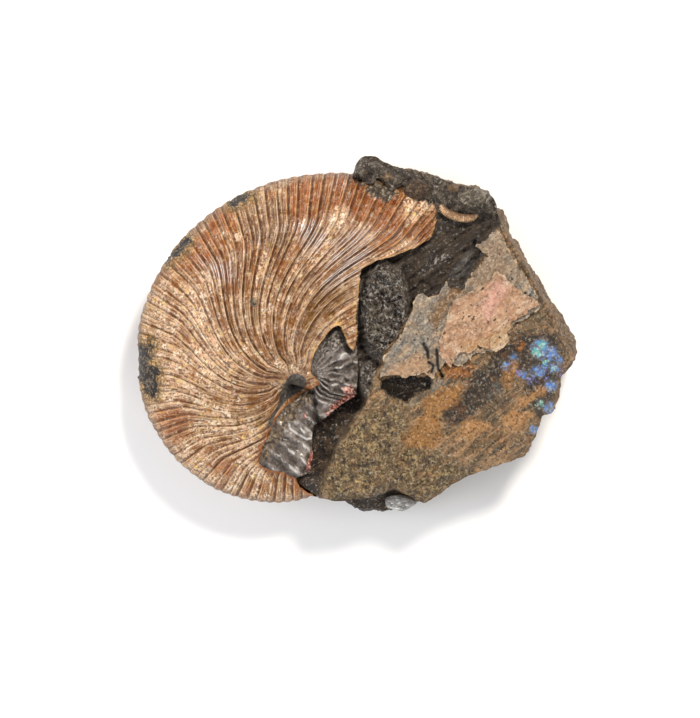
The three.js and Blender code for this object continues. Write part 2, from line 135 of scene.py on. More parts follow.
THICK = [
    (-44.7, 8.5), (-33.5, 7.7), (-28.7, 0.1), (-23.5, -12.3), (-20.3, -21.1), (-21.1, -34.1),
    (-35.5, -30.1), (-44.7, -13.1),
]
STAIN = [
    [(-21.5, 6.7), (-20.5, 7.3), (-19.7, 6.5), (-20.3, 5.7), (-21.1, 5.7)],
    [(1.7, 29.1), (3.7, 30.1), (6.9, 29.1), (7.5, 27.5), (5.5, 26.3), (2.7, 27.5)],
    [(-0.5, 30.7), (2.9, 30.1), (0.9, 29.3)],
    [(12.9, 27.7), (15.7, 26.3), (14.1, 25.7)],
]
# Patches where the shell's rib lines carry painted white highlights, on a base painted darker between them.
PAINTED_HIGHLIGHTS = [
    [(-11.9, 22.1), (-8.3, 22.1), (-6.3, 19.7), (-7.5, 16.5), (-10.3, 16.5), (-11.5, 18.9)],
    [
        (-4.7, 17.7), (-1.5, 20.9), (2.1, 21.3), (2.5, 14.5), (-0.3, 11.7), (-3.1, 10.1), (-6.3, 8.9),
        (-7.9, 10.9), (-5.9, 14.5),
    ],
    [(-4.3, 31.9), (-2.7, 31.7), (-3.1, 29.5), (-4.1, 29.5)],
    [(-32.3, 14.5), (-25.9, 14.5), (-24.3, 10.3), (-28.7, 11.5)],
]
CRUSTY = [
    [(9.5, 27.9), (12.1, 29.1), (15.7, 27.1), (15.3, 24.9), (12.1, 22.9), (10.1, 21.7), (8.9, 24.1)],
    [(3.7, 14.9), (5.3, 16.5), (8.1, 17.7), (10.5, 19.3), (11.3, 17.7), (8.5, 16.1), (5.3, 14.5)],
    [(-5.5, 24.5), (-2.7, 26.1), (-1.5, 23.7), (-2.3, 20.5), (-4.7, 19.7)],
]
BARE = [
    [
        (-45.1, -1.9), (-42.3, -2.3), (-41.5, -4.3), (-41.9, -5.9), (-40.1, -6.5), (-40.3, -8.7),
        (-39.9, -10.7), (-40.3, -12.5), (-41.7, -12.3), (-43.1, -9.9), (-44.7, -7.5),
    ],
    [(-41.7, -1.7), (-40.7, -1.9), (-41.3, -3.1), (-41.9, -2.9)],
    [(-40.1, -7.1), (-39.5, -7.3), (-39.7, -8.1), (-40.3, -7.9)],
    [
        (-38.3, 15.3), (-36.5, 17.1), (-34.3, 19.7), (-33.5, 18.9), (-34.7, 16.9), (-35.5, 15.7),
        (-37.1, 15.7), (-37.9, 14.1),
    ],
    [(-25.9, 27.1), (-21.9, 28.3), (-21.1, 27.7), (-23.5, 26.3), (-25.5, 25.5)],
]


def linear(hex_colour):
    """An sRGB hex value as linear RGBA."""
    channels = [int(hex_colour[i : i + 2], 16) / 255 for i in (1, 3, 5)]
    return [c / 12.92 if c <= 0.04045 else ((c + 0.055) / 1.055) ** 2.4 for c in channels] + [1.0]


def smooth(value, low, high):
    """Rises from 0 at low to 1 at high, with no corner."""
    share = np.clip((value - low) / (high - low), 0, 1)
    return share * share * (3 - 2 * share)


def distance_to_line(x, y, line):
    """Millimetres to an open line."""
    nearest = np.full(np.shape(x), np.inf)
    for (ax, ay), (bx, by) in zip(line, line[1:]):
        dx, dy = bx - ax, by - ay
        along = np.clip(((x - ax) * dx + (y - ay) * dy) / (dx * dx + dy * dy), 0, 1)
        nearest = np.minimum(nearest, np.hypot(x - ax - along * dx, y - ay - along * dy))
    return nearest


def signed_distance(x, y, outline):
    """Millimetres to a closed outline, negative inside it."""
    nearest = distance_to_line(x, y, outline + outline[:1])
    inside = np.zeros(np.shape(x), bool)
    for (ax, ay), (bx, by) in zip(outline, outline[1:] + outline[:1]):
        if ay != by:
            inside ^= ((ay > y) != (by > y)) & (x < (bx - ax) * (y - ay) / (by - ay) + ax)
    return np.where(inside, -nearest, nearest)


def nearest_of(x, y, outlines):
    """Millimetres to the nearest of several closed outlines, negative inside any."""
    return np.min([signed_distance(x, y, outline) for outline in outlines], axis=0)


def grain(x, y, z, size, octaves=3, seed=0.0):
    """Fractal noise of about -1 to 1 whose largest grains measure size millimetres."""
    points = np.column_stack([np.broadcast_to(c, np.shape(x)) / size + seed for c in (x, y, z)])
    return np.array([noise.fractal(Vector(p), 0.7, 2.0, octaves) for p in points])


def get_points(mesh):
    """The mesh's vertices in millimetres."""
    flat = np.empty(len(mesh.vertices) * 3)
    mesh.vertices.foreach_get("co", flat)
    return flat.reshape(-1, 3) / MM


def set_points(mesh, points):
    mesh.vertices.foreach_set("co", (np.column_stack(points) * MM).ravel())


def mark(mesh, name, values):
    """Keeps one number per vertex, for the material to read."""
    layer = mesh.attributes.new(name, "FLOAT", "POINT")
    layer.data.foreach_set("value", np.broadcast_to(values, len(mesh.vertices)).astype(np.float32))


def grid_mesh(name, columns, rows, width=1.0, length=1.0):
    """A flat grid centred on the origin, in millimetres."""
    sheet = bmesh.new()
    bmesh.ops.create_grid(sheet, x_segments=columns, y_segments=rows, size=0.5 * MM)
    bmesh.ops.scale(sheet, vec=(width, length, 1), verts=sheet.verts)
    mesh = bpy.data.meshes.new(name)
    sheet.to_mesh(mesh)
    sheet.free()
    return mesh


def trim_to(sheet, outside_of, reach):
    """Cuts a sheet back to where outside_of(x, y, z) is nought; reach is about a cell's size."""
    points = np.array([v.co for v in sheet.verts]) / MM
    x, y, z = points.T
    beyond = outside_of(x, y, z)
    step = 0.02
    slope_x = (outside_of(x + step, y, z) - beyond) / step
    slope_y = (outside_of(x, y + step, z) - beyond) / step
    steepness = np.maximum(0.3, np.hypot(slope_x, slope_y))
    keep = (beyond > 0) & (beyond < reach)
    moves = zip(list(sheet.verts), beyond, slope_x, slope_y, steepness, keep)
    for vertex, distance, sx, sy, slope, near in moves:
        if near:
            vertex.co.x -= distance * sx / slope**2 * MM
            vertex.co.y -= distance * sy / slope**2 * MM
    gone = [v for v, distance in zip(sheet.verts, beyond) if distance >= reach]
    bmesh.ops.delete(sheet, geom=gone, context="VERTS")


def rim_down(sheet, level, lip=0.4):
    """Turns a sheet's open edge down to level(vertex): a lip first, then a wall that is marked deep."""
    deep = sheet.verts.layers.float.new("deep")
    fall = sheet.verts.layers.float.new("fall")
    for vertex in {v for e in sheet.edges if e.is_boundary for v in e.verts}:
        vertex[fall] = vertex.co.z / MM - level(vertex)
    for part, whole in ((lip, 0), (0.1, 0), (0, 0.33), (0, 0.33), (0, 0.34)):
        edges = [e for e in sheet.edges if e.is_boundary]
        made = bmesh.ops.extrude_edge_only(sheet, edges=edges)["geom"]
        for vertex in (g for g in made if isinstance(g, bmesh.types.BMVert)):
            vertex.co.z -= (part + whole * (vertex[fall] - lip - 0.1)) * MM
            vertex[deep] = float(part != lip)


def write_back(sheet, mesh):
    """Turns every face outwards and puts the sheet back into its mesh."""
    bmesh.ops.recalc_face_normals(sheet, faces=sheet.faces)
    sheet.to_mesh(mesh)
    sheet.free()
    return mesh


def add(material, kind, inputs=None, **settings):
    """One node with its settings, its values and its links."""
    node = material.node_tree.nodes.new(kind)
    for key, value in settings.items():
        setattr(node, key, value)
    for key, value in (inputs or {}).items():
        if isinstance(value, bpy.types.NodeSocket):
            material.node_tree.links.new(value, node.inputs[key])
        else:
            node.inputs[key].default_value = value
    return node


def blank(name):
    """A new material with nothing but its output."""
    material = bpy.data.materials.new(name)
    material.use_nodes = True
    material.node_tree.nodes.clear()
    return material


def finish_piece(mesh, material, slot, *nodes):
    """Puts a finished mesh in the scene, where it stands for these CAD nodes."""
    mesh.polygons.foreach_set("use_smooth", np.ones(len(mesh.polygons), bool))
    mesh.materials.append(material)
    piece = bpy.data.objects.new(mesh.name, mesh)
    bpy.context.scene.collection.objects.link(piece)
    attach(piece, "root")
    if nodes:
        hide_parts(*nodes)
    return piece


def venter_radius(angle):
    return VENTER_RADIUS * np.exp(VENTER_GROWTH * angle + VENTER_FLARE * angle**2)


def flank_height(share):
    """The whorl's half height at a share of its radius, as a share of its greatest."""
    outer = (1 - np.clip((share - 0.3) / 0.7, 0, 1) ** 2.3) ** 0.62
    return outer * (0.8 + 0.2 * smooth(share, 0.05, 0.3))


def shell_top(x, y):
    """Height of the shell's upper flank, and the share of the radius, at a point in plan."""
    angle = math.pi - np.arctan2(y - COIL_Y, x - COIL_X)
    angle = np.where(angle > 3.3, angle - 2 * math.pi, angle)
    share = np.hypot(x - COIL_X, y - COIL_Y) / venter_radius(angle)
    height = COIL_Z + (HALF_THICKNESS + angle) * flank_height(np.minimum(share, 1))
    return height, share


def lot(number, stride, spread):
    """A draw from 0 to 1 that belongs to a whole number and never changes."""
    return np.abs(np.sin(number * stride) * spread) % 1


def make_shell():
    rows = FLANK_ROWS + HIDDEN_FLANK_ROWS
    mesh = grid_mesh("ammonite_shell", (LAST_RIB - FIRST_RIB) * COLUMNS_PER_RIB, rows)
    u, v, _ = (get_points(mesh) + 0.5).T
    fold = FLANK_ROWS / rows
    upper = v <= fold + 1e-6
    way = np.where(upper, v / fold, (1 - v) / (1 - fold))
    share = 1 - (1 - np.clip(way, 0, 1)) ** 1.3
    rib = FIRST_RIB + u * (LAST_RIB - FIRST_RIB)
    at_venter = (np.sqrt(RIBS_PER_RADIAN**2 + 2 * RIB_CROWDING * rib) - RIBS_PER_RADIAN) / RIB_CROWDING
    lag = RIB_SWEEP * (1 - smooth(share, 0.15, 0.8)) - RIB_CURL * (1 - smooth(share, 0.08, 0.17))
    angle = at_venter - lag
    radius = share * venter_radius(angle)
    spacing = radius / (RIBS_PER_RADIAN + RIB_CROWDING * angle)

    # Grooves between the ribs: each has its own place, depth and reach towards the navel.
    groove = np.zeros(len(u))
    apart = np.full(len(u), FAR)
    line = np.full(len(u), FAR)
    strength = np.zeros(len(u))
    nearest = np.round(rib).astype(int)
    for offset in range(-4, 5):
        number = nearest + offset
        luck = lot(number, 12.9898, 43758.5453)
        chance = lot(number, 78.233, 12543.123)
        start = np.choose(number % 4, [0.04, 0.5, 0.27, 0.56]) + 0.14 * (chance - 0.5)
        fade = smooth(share, start, start + 0.12)
        shift = rib - number - 0.35 * (luck - 0.5)
        width = np.minimum(2.0, GROOVE_HALF_WIDTH / np.maximum(spacing, 0.05)) * (0.8 + 0.5 * chance)
        depth = fade * (0.65 + 0.5 * luck)
        groove = np.maximum(groove, depth * np.exp(-((shift / width) ** 2)))
        reach = np.abs(shift) * spacing + 2.0 * (1 - fade)
        line = np.where(reach < apart, shift * spacing, line)
        strength = np.where(reach < apart, depth, strength)
        apart = np.minimum(apart, reach)
    barrel = 0.5 - 0.5 * np.cos(2 * math.pi * rib)

    x = COIL_X - radius * np.cos(angle)
    y = COIL_Y + radius * np.sin(angle)
    side = np.where(upper, 1, -1)
    z = COIL_Z + side * (HALF_THICKNESS + angle) * flank_height(share)
    waves = grain(x, y, z, 7.0, 3)
    crumbs = grain(x, y, z, 1.1, 3, 3.0)
    bare = np.where(upper, nearest_of(x, y, BARE), FAR) + 0.5 * crumbs
    is_bare = smooth(-bare, -0.1, 0.25)
    lift = 0.16 * waves + 0.05 * crumbs - BARE_DEPTH * is_bare
    outward = share**4
    lift -= GROOVE_DEPTH * groove * (1 - 0.7 * is_bare) * np.minimum(1, spacing / 0.5) * (1 - 0.6 * outward)
    lift += (0.24 - 0.12 * outward) * barrel * smooth(share, 0.45, 0.8)
    stain = np.where(upper, nearest_of(x, y, STAIN), FAR)
    lift += (0.45 + 0.5 * crumbs) * smooth(-stain + 0.4 * crumbs, -0.2, 0.3)
    edge = signed_distance(x, y, SHELL_KEPT)
    by_navel = smooth(-y, 8.0, 10.0) * smooth(x, -22.5, -18.0)
    lip = np.exp(-((edge / 0.45) ** 2)) * by_navel * upper
    pit = np.where(upper, signed_distance(x, y, NAVEL_PIT), FAR)
    radius += lift * outward * smooth(share, 0, 0.1)
    z += side * lift * (1 - outward) + LIP_HEIGHT * lip - PIT_DEPTH * smooth(-pit, -0.25, 1.0)
    x = COIL_X - radius * np.cos(angle)
    y = COIL_Y + radius * np.sin(angle)
    set_points(mesh, (x, y, z))
    for name, values in {
        "rib": rib,
        "share": share,
        "line": np.clip(line, -3, 3),
        "strength": strength,
        "bare": bare,
        "tan": bare - 1.3,
        "crusty": np.where(upper, nearest_of(x, y, CRUSTY), FAR),
        "pit": pit,
        "lip": lip,
        "edge": -edge,
        "orange": nearest_of(x, y, ORANGE),
        "thick": signed_distance(x, y, THICK),
        "stain": stain,
        "grey": nearest_of(x, y, GREY),
        "olive": nearest_of(x, y, OLIVE),
        "ochre": nearest_of(x, y, OCHRE),
        "painted_highlight": np.where(upper, nearest_of(x, y, PAINTED_HIGHLIGHTS), FAR),
    }.items():
        mark(mesh, name, values)

    def beyond(px, py, pz):
        ragged = 0.22 * grain(px, py, 0, 1.6, 3, 6.0)
        over = signed_distance(px, py, SHELL_KEPT) + ragged
        under = signed_distance(px, py, UNDERSIDE_KEPT)
        return np.where(pz >= COIL_Z - 0.5, over, under)

    sheet = bmesh.new()
    sheet.from_mesh(mesh)
    bmesh.ops.remove_doubles(sheet, verts=sheet.verts, dist=0.002 * MM)
    trim_to(sheet, beyond, 0.65)
    rim_down(sheet, lambda vertex: COIL_Z)
    bmesh.ops.remove_doubles(sheet, verts=sheet.verts, dist=0.002 * MM)
    return write_back(sheet, mesh)


# Every material is put together in the same steps: zones with ragged borders, noise cut to
# masks, colours laid over each other, and a relief that adds up in millimetres.

def marked(material, name):
    """The number that the mesh keeps for every vertex under a name."""
    return add(material, "ShaderNodeAttribute", attribute_name=name).outputs["Fac"]


def product(material, value, factor):
    return add(material, "ShaderNodeMath", {0: value, 1: factor}, operation="MULTIPLY").outputs[0]


def off_from(material, value, centre):
    """How far a value lies from a centre, to either side."""
    off = add(material, "ShaderNodeMath", {0: value, 1: centre}, operation="SUBTRACT").outputs[0]
    return add(material, "ShaderNodeMath", {0: off}, operation="ABSOLUTE").outputs[0]


def ramp(material, value, nought, one):
    """Goes from 0 to 1 while the value goes from nought to one, and no further."""
    ends = {"Value": value, "From Min": nought, "From Max": one}
    return add(material, "ShaderNodeMapRange", ends).outputs[0]


def between(material, mask, without, within):
    """Goes from one value, outside a mask, to another, inside it."""
    ends = {"Value": mask, "To Min": without, "To Max": within}
    return add(material, "ShaderNodeMapRange", ends).outputs[0]


def in_mm(material):
    """The place on the part, in millimetres."""
    where = add(material, "ShaderNodeTexCoord").outputs["Object"]
    return add(material, "ShaderNodeVectorMath", {0: where, "Scale": 1000.0}, operation="SCALE").outputs[0]


def ragged_zones(material, mm, borders):
    """Masks of marked zones, from each one's half border, grain size and stray, all in mm."""
    zone = {}
    for name, (half, size, stray) in borders.items():
        distance = marked(material, name)
        wander = add(
            material,
            "ShaderNodeTexNoise",
            {"Vector": mm, "Scale": 1 / size, "Detail": 6.0, "Roughness": 0.62},
        ).outputs[0]
        moved = add(
            material, "ShaderNodeMath", {0: wander, 1: stray, 2: distance}, operation="MULTIPLY_ADD"
        ).outputs[0]
        zone[name] = ramp(material, moved, stray / 2 + half, stray / 2 - half)
    return zone


def noise_masks(material, patterns):
    """Noise patterns, and the same cut to masks between two of their values."""
    pattern, mask = {}, {}
    for name, (vector, size, detail, (low, high)) in patterns.items():
        shift = add(material, "ShaderNodeVectorMath", {0: vector, 1: (7.0 * len(mask), 3.0, 0.0)}).outputs[0]
        pattern[name] = add(
            material,
            "ShaderNodeTexNoise",
            {"Vector": shift, "Scale": 1 / size, "Detail": detail, "Roughness": 0.66},
        ).outputs[0]
        mask[name] = ramp(material, pattern[name], low, high)
    return pattern, mask


def grains_of(material, mm, size):
    """Masks of the light and of the dark grains in a packing of grains of one size."""
    cells = add(material, "ShaderNodeTexVoronoi", {"Vector": mm, "Scale": 1 / size}).outputs
    light = ramp(material, cells["Color"], 0.6, 0.72)
    dark = ramp(material, cells["Color"], 0.4, 0.28)
    return light, dark, cells["Distance"]


def lay_colours(material, tone, layers):
    """Lay colours over a first one, each as strong as the product of its numbers and masks."""
    for colour, part, *masks in layers:
        for mask in masks:
            part = product(material, mask, part)
        tone = add(
            material, "ShaderNodeMix", {0: part, 6: tone, 7: linear(colour)}, data_type="RGBA"
        ).outputs[2]
    return tone


def greatest(material, *masks):
    most = masks[0]
    for mask in masks[1:]:
        most = add(material, "ShaderNodeMath", {0: most, 1: mask}, operation="MAXIMUM").outputs[0]
    return most


def surface_of(material, tone, roughness, heights, **constants):
    """A surface whose relief is the sum of patterns, each with its depth in mm."""
    relief = add(material, "ShaderNodeValue").outputs[0]
    for height, depth in heights:
        relief = add(
            material, "ShaderNodeMath", {0: height, 1: depth, 2: relief}, operation="MULTIPLY_ADD"
        ).outputs[0]
    bump = add(material, "ShaderNodeBump", {"Height": relief, "Distance": MM, "Strength": 1.0})
    surface = add(
        material,
        "ShaderNodeBsdfPrincipled",
        {"Base Color": tone, "Roughness": roughness, "Normal": bump.outputs[0]},
    )
    for name, value in constants.items():
        surface.inputs[name.replace("_", " ")].default_value = value
    add(material, "ShaderNodeOutputMaterial", {"Surface": surface.outputs[0]})
    return surface


# Weathered mother-of-pearl (aragonite): satin copper-brown shell with fine bright lines along
# the ribs, their paleness partly painted highlight, half hidden under a thin, gritty, cream to pink
# crust, and brown in every groove. Painted white highlights glint in patches, and painted shade
# darkens the flank beyond each groove and the shell's outer edge.

def copper_nacre():
    skin = blank("copper_nacre")
    mm = in_mm(skin)
    value = {
        name: marked(skin, name)
        for name in ("rib", "share", "line", "strength", "lip", "edge", "deep")
    }
    zone = ragged_zones(skin, mm, {
        "orange": (0.8, 2.2, 3.6),
        "grey": (1.2, 2.0, 4.0),
        "thick": (3.0, 2.5, 5.0),
        "olive": (0.8, 2.2, 3.0),
        "ochre": (1.5, 2.5, 5.0),
        "painted_highlight": (1.2, 1.6, 5.0),
        "crusty": (0.5, 1.1, 3.4),
        "stain": (0.2, 0.9, 1.6),
        "bare": (0.12, 0.7, 0.5),
        "tan": (0.6, 0.8, 1.6),
        "pit": (0.12, 0.6, 0.3),
    })
    # Streaks run along the ribs: a pattern on the rib's number and the way to the navel.
    along = product(skin, value["share"], 9.0)
    across = product(skin, value["rib"], 2.6)
    ribwise = add(skin, "ShaderNodeCombineXYZ", {0: across, 1: along}).outputs[0]
    along = product(skin, value["share"], 4.5)
    lengthwise = add(skin, "ShaderNodeCombineXYZ", {0: across, 1: along}).outputs[0]
    pattern, mask = noise_masks(skin, {
        "streak": (ribwise, 1.0, 6.0, (0.5, 0.62)),
        "fine_streak": (ribwise, 0.5, 4.0, (0.52, 0.6)),
        "dark_streak": (ribwise, 0.6, 4.0, (0.52, 0.6)),
        "cloud": (mm, 6.5, 5.0, (0.38, 0.64)),
        "crust": (mm, 3.6, 9.0, (0.45, 0.54)),
        "ribbed_crust": (lengthwise, 1.7, 7.0, (0.45, 0.55)),
        "blotch": (mm, 1.5, 5.0, (0.47, 0.57)),
        "speck": (mm, 0.8, 3.0, (0.5, 0.58)),
        "pink": (mm, 1.6, 6.0, (0.46, 0.56)),
        "gold": (mm, 1.2, 5.0, (0.58, 0.62)),
        # Thin specks along the ribs for painted glints.
        "painted_glint": (lengthwise, 0.42, 5.0, (0.56, 0.6)),
        "gap": (mm, 2.4, 5.0, (0.4, 0.54)),
    })
    light, dark, _ = grains_of(skin, mm, 0.36)

    # Around the bare patches the crust is eaten into a lace.
    sway = add(skin, "ShaderNodeTexNoise", {"Vector": mm, "Scale": 1 / 1.2, "Detail": 3.0}).outputs["Color"]
    bent = add(
        skin, "ShaderNodeVectorMath", {0: sway, 1: (1.8, 1.8, 1.8), 2: mm}, operation="MULTIPLY_ADD"
    ).outputs[0]
    net = add(
        skin, "ShaderNodeTexVoronoi", {"Vector": bent, "Scale": 1 / 1.0}, feature="DISTANCE_TO_EDGE"
    ).outputs[0]
    lace = ramp(skin, net, 0.2, 0.06)

    # The crust is thin where the shell is orange or olive, and thick towards the left.
    worn = greatest(skin, zone["olive"], zone["grey"], zone["painted_highlight"])
    worn = product(skin, worn, 0.8)
    polished = greatest(skin, zone["orange"], zone["stain"], worn)
    kept = between(skin, polished, 1.0, 0.12)
    both = add(
        skin, "ShaderNodeMath", {0: pattern["crust"], 1: pattern["ribbed_crust"]}, operation="ADD"
    ).outputs[0]
    both = add(
        skin, "ShaderNodeMath", {0: zone["thick"], 1: 0.09, 2: both}, operation="MULTIPLY_ADD"
    ).outputs[0]
    crust = ramp(skin, both, 0.98, 1.08)
    crust = product(skin, crust, kept)
    crust = greatest(skin, crust, zone["crusty"])
    quiet = between(skin, zone["orange"], 1.0, 0.4)
    gritty = between(skin, crust, 0.3, 1.0)
    clear = between(skin, crust, 1.0, 0.3)

    # Beside each groove run thin raised lines, paler partly by their own colour and partly by painted
    # highlight, and beyond the groove the shell is painted darker as shade on the concave flank.
    profile = {}
    for name, centre, half_width in (
        ("groove", 0.0, 0.2),
        ("ridge", -0.38, 0.2),
        ("second", 0.5, 0.14),
        ("third", -0.85, 0.14),
        ("shade", 0.25, 0.8),
    ):
        off = off_from(skin, value["line"], centre)
        near = add(
            skin,
            "ShaderNodeMapRange",
            {"Value": off, "From Min": half_width, "From Max": 0.0},
            interpolation_type="SMOOTHSTEP",
        ).outputs[0]
        profile[name] = add(
            skin, "ShaderNodeMath", {0: near, 1: value["strength"]}, operation="MULTIPLY", use_clamp=True
        ).outputs[0]
    thin = greatest(skin, profile["second"], profile["third"])
    all_lines = greatest(skin, profile["ridge"], thin)
    thin = product(skin, thin, mask["gap"])
    thin = product(skin, thin, 0.6)
    lines = greatest(skin, profile["ridge"], thin)
    # Painted shade, patchy, darkens the shell where it turns down at its outer edge.
    outer = ramp(skin, value["share"], 0.95, 1.0)
    torn = ramp(skin, value["edge"], 0.5, 0.05)

    tone = lay_colours(skin, linear("#9C5A24"), (
        ("#C08048", 0.85, mask["cloud"]),
        ("#C2954E", 0.6, zone["ochre"]),
        ("#A95208", 0.97, zone["orange"]),
        ("#6E5B4E", 0.75, zone["grey"]),
        ("#8C6426", 0.85, zone["olive"]),
        ("#7A4420", 0.6, mask["streak"]),
        ("#E09650", 0.65, mask["fine_streak"], mask["blotch"]),
        ("#542C10", 0.75, mask["dark_streak"]),
        ("#ECBC8F", 0.88, crust),
        ("#FFDCBC", 0.6, mask["pink"], gritty),
        # Painted shade on the concave flank beyond each groove.
        ("#6A3D1C", 0.7, profile["shade"], clear),
        ("#7A4E30", 0.5, mask["speck"], gritty),
        ("#54301A", 0.75, dark, gritty),
        ("#FFF0D4", 0.9, light, gritty, mask["blotch"]),
        ("#F6CE68", 0.6, mask["gold"], gritty),
        # The crest lines are painted paler, partly their own colour and partly painted highlight.
        ("#F0A65C", 0.65, lines, clear),
        ("#FFE8C2", 0.75, lines, mask["gap"], quiet),
        # Short painted glints along the ribs, over the shell and over the crust.
        ("#FFE0B4", 0.6, mask["painted_glint"], mask["blotch"], quiet),
        ("#FFF6E4", 0.7, mask["painted_glint"], mask["speck"], gritty),
        ("#5A3418", 0.6, profile["groove"]),
        ("#2C180B", 0.45, profile["groove"], mask["gap"]),
        # Painted highlights: a haze of white glints, a darker base, and every rib line painted white.
        ("#FFF4E6", 0.35, zone["painted_highlight"], mask["painted_glint"]),
        ("#8A4E20", 0.6, zone["painted_highlight"], mask["dark_streak"]),
        ("#FFFFFF", 0.95, zone["painted_highlight"], all_lines),
        # Painted shade where the shell turns down at its outer edge.
        ("#5F4630", 0.75, outer, mask["blotch"]),
        ("#5F4630", 0.35, outer),
        ("#E2B070", 0.5, torn),
        ("#C06C2C", 0.85, value["lip"]),
        ("#4C4338", 0.95, zone["stain"]),
        ("#A4977F", 0.6, zone["stain"], light),
        ("#1F1A16", 0.6, zone["stain"], dark),
        ("#3A3028", 1.0, value["deep"]),
        ("#8A7B66", 0.5, value["deep"], light),
        ("#16120F", 0.5, value["deep"], dark),
        ("#C39C60", 0.65, zone["tan"]),
        ("#3A3026", 0.8, zone["tan"], lace),
        ("#241E1A", 1.0, zone["bare"]),
        ("#8C7A64", 0.6, zone["bare"], light),
        ("#544D45", 1.0, zone["pit"]),
        ("#847C6E", 0.5, zone["pit"], light),
        ("#2B2723", 0.5, zone["pit"], dark),
    ))
    dull = greatest(skin, crust, zone["bare"], zone["pit"], zone["stain"], value["deep"])
    roughness = between(skin, dull, 0.28, 0.58)
    metal = between(skin, dull, 0.62, 0.08)
    surface = surface_of(skin, tone, roughness, (
        (lines, 0.22),
        (profile["groove"], -0.14),
        (pattern["fine_streak"], 0.5),
        (pattern["speck"], 0.6),
        (pattern["blotch"], 0.5),
        (light, 0.05),
        (dark, -0.06),
        (crust, 0.1),
    ), Coat_Weight=0.18, Coat_Roughness=0.12)
    skin.node_tree.links.new(metal, surface.inputs["Metallic"])
    return skin


finish_piece(make_shell(), copper_nacre(), "copper_nacre", "shell")

# The rock. Dark, thinly layered shale that was split off round the shell. Its right side is
# a broad face with rusty crusts and glints of coloured pearl; left of that the ground drops
# to a striated valley with a sugary lump in it, a groove beside the cast and a knobbly rim.

ROCK_X, ROCK_Y = 13.5, -1.1
SPOKES = 480
TOP_RINGS, WALL_RINGS, BASE_RINGS = 118, 34, 4
UNDER_SHELL = [
    (-5.1, 23.9), (-9.1, 14.5), (-12.3, 4.9), (-14.3, -5.1), (-14.7, -15.1), (-13.5, -24.1), (-11.5, -29.9),
]
RIGHT_TOP = [(42.9, -4.9), (41.5, -1.9), (38.3, 4.7), (34.3, 11.9), (30.3, 18.9), (28.3, 22.7)]
RIGHT_WIDE = [
    (43.5, -5.3), (44.3, -3.5), (43.9, -1.7), (40.9, 3.9), (37.1, 9.9), (33.3, 15.9), (30.3, 20.5),
    (29.9, 23.7),
]
CREST = [
    (27.7, 25.5), (26.1, 28.7), (23.7, 29.3), (17.7, 30.7), (14.5, 32.1), (9.1, 33.3), (5.3, 34.5),
    (3.5, 35.7), (1.3, 35.7), (-0.3, 34.1), (-1.5, 30.5),
]
LOWER_RIGHT = [
    (13.3, -33.7), (18.1, -30.5), (22.1, -28.1), (27.9, -26.1), (33.3, -24.3), (35.7, -20.3),
    (36.7, -16.5), (38.7, -15.7), (40.3, -12.3), (40.5, -8.5),
]
NOTCH = [(-7.9, -32.3), (-4.5, -33.3), (0.5, -32.9), (5.3, -31.7), (7.1, -30.5), (9.5, -31.9)]
LEDGE = [
    (-7.9, -32.5), (-3.5, -33.9), (-1.5, -35.3), (1.3, -36.3), (4.9, -36.5), (7.9, -36.1),
    (10.7, -35.3),
]
TOP_EDGE = UNDER_SHELL + NOTCH + LOWER_RIGHT + RIGHT_TOP + CREST
WIDEST = UNDER_SHELL + NOTCH + LOWER_RIGHT + RIGHT_WIDE + CREST
FOOT = UNDER_SHELL + LEDGE + LOWER_RIGHT + RIGHT_WIDE + CREST

SCARP = [
    (36.1, 29.5), (29.1, 24.1), (26.5, 20.7), (23.9, 18.5), (24.5, 16.5), (23.1, 14.3), (21.5, 11.7),
    (20.7, 9.7), (18.1, 10.3), (16.1, 8.7), (13.7, 8.1), (11.5, 7.3), (10.1, 3.3), (7.7, -0.7),
    (5.3, -3.5), (3.7, -7.5), (1.9, -12.5), (-0.9, -16.9), (-3.9, -21.9), (-6.3, -26.9), (-7.7, -32.7),
    (-9.1, -39.9),
]
FACE_SIDE = SCARP + [(70, -40), (70, 29.5)]
CAST_EDGE = BREAK_EDGE[9:] + NAVEL_EDGE[1:] + [
    (-9.5, -27.5), (-8.9, -24.3), (-9.1, -20.7), (-8.7, -18.1), (-7.1, -17.1), (-3.7, -14.3),
    (-0.3, -12.1), (0.1, -8.1), (-0.1, -2.1),
]
BAND = [
    (26.9, -4.1), (29.5, -1.7), (32.7, 0.1), (37.5, 0.9), (40.5, -1.5), (39.7, -3.9), (34.5, -3.5),
    (31.5, -5.1), (29.7, -7.5), (28.1, -9.9), (28.5, -11.7), (25.7, -14.1), (23.1, -15.9),
    (20.5, -18.3), (17.5, -17.9), (16.5, -15.5), (19.7, -13.9), (21.3, -11.7), (22.5, -9.1),
    (23.3, -7.1), (25.7, -6.3),
]
DARK_CORNER = [
    (32.1, -2.7), (37.5, -0.7), (41.3, -3.1), (40.5, -8.3), (38.9, -12.7), (36.5, -16.7),
    (33.7, -13.9), (33.3, -9.1), (31.5, -6.3),
]
BLACK_HOLLOW = [
    (4.7, -9.1), (6.9, -8.5), (9.9, -7.7), (12.1, -8.5), (13.9, -8.1), (14.9, -9.3), (14.5, -10.9),
    (11.7, -11.9), (9.9, -13.5), (7.7, -12.7), (6.1, -12.1), (4.7, -10.7),
]
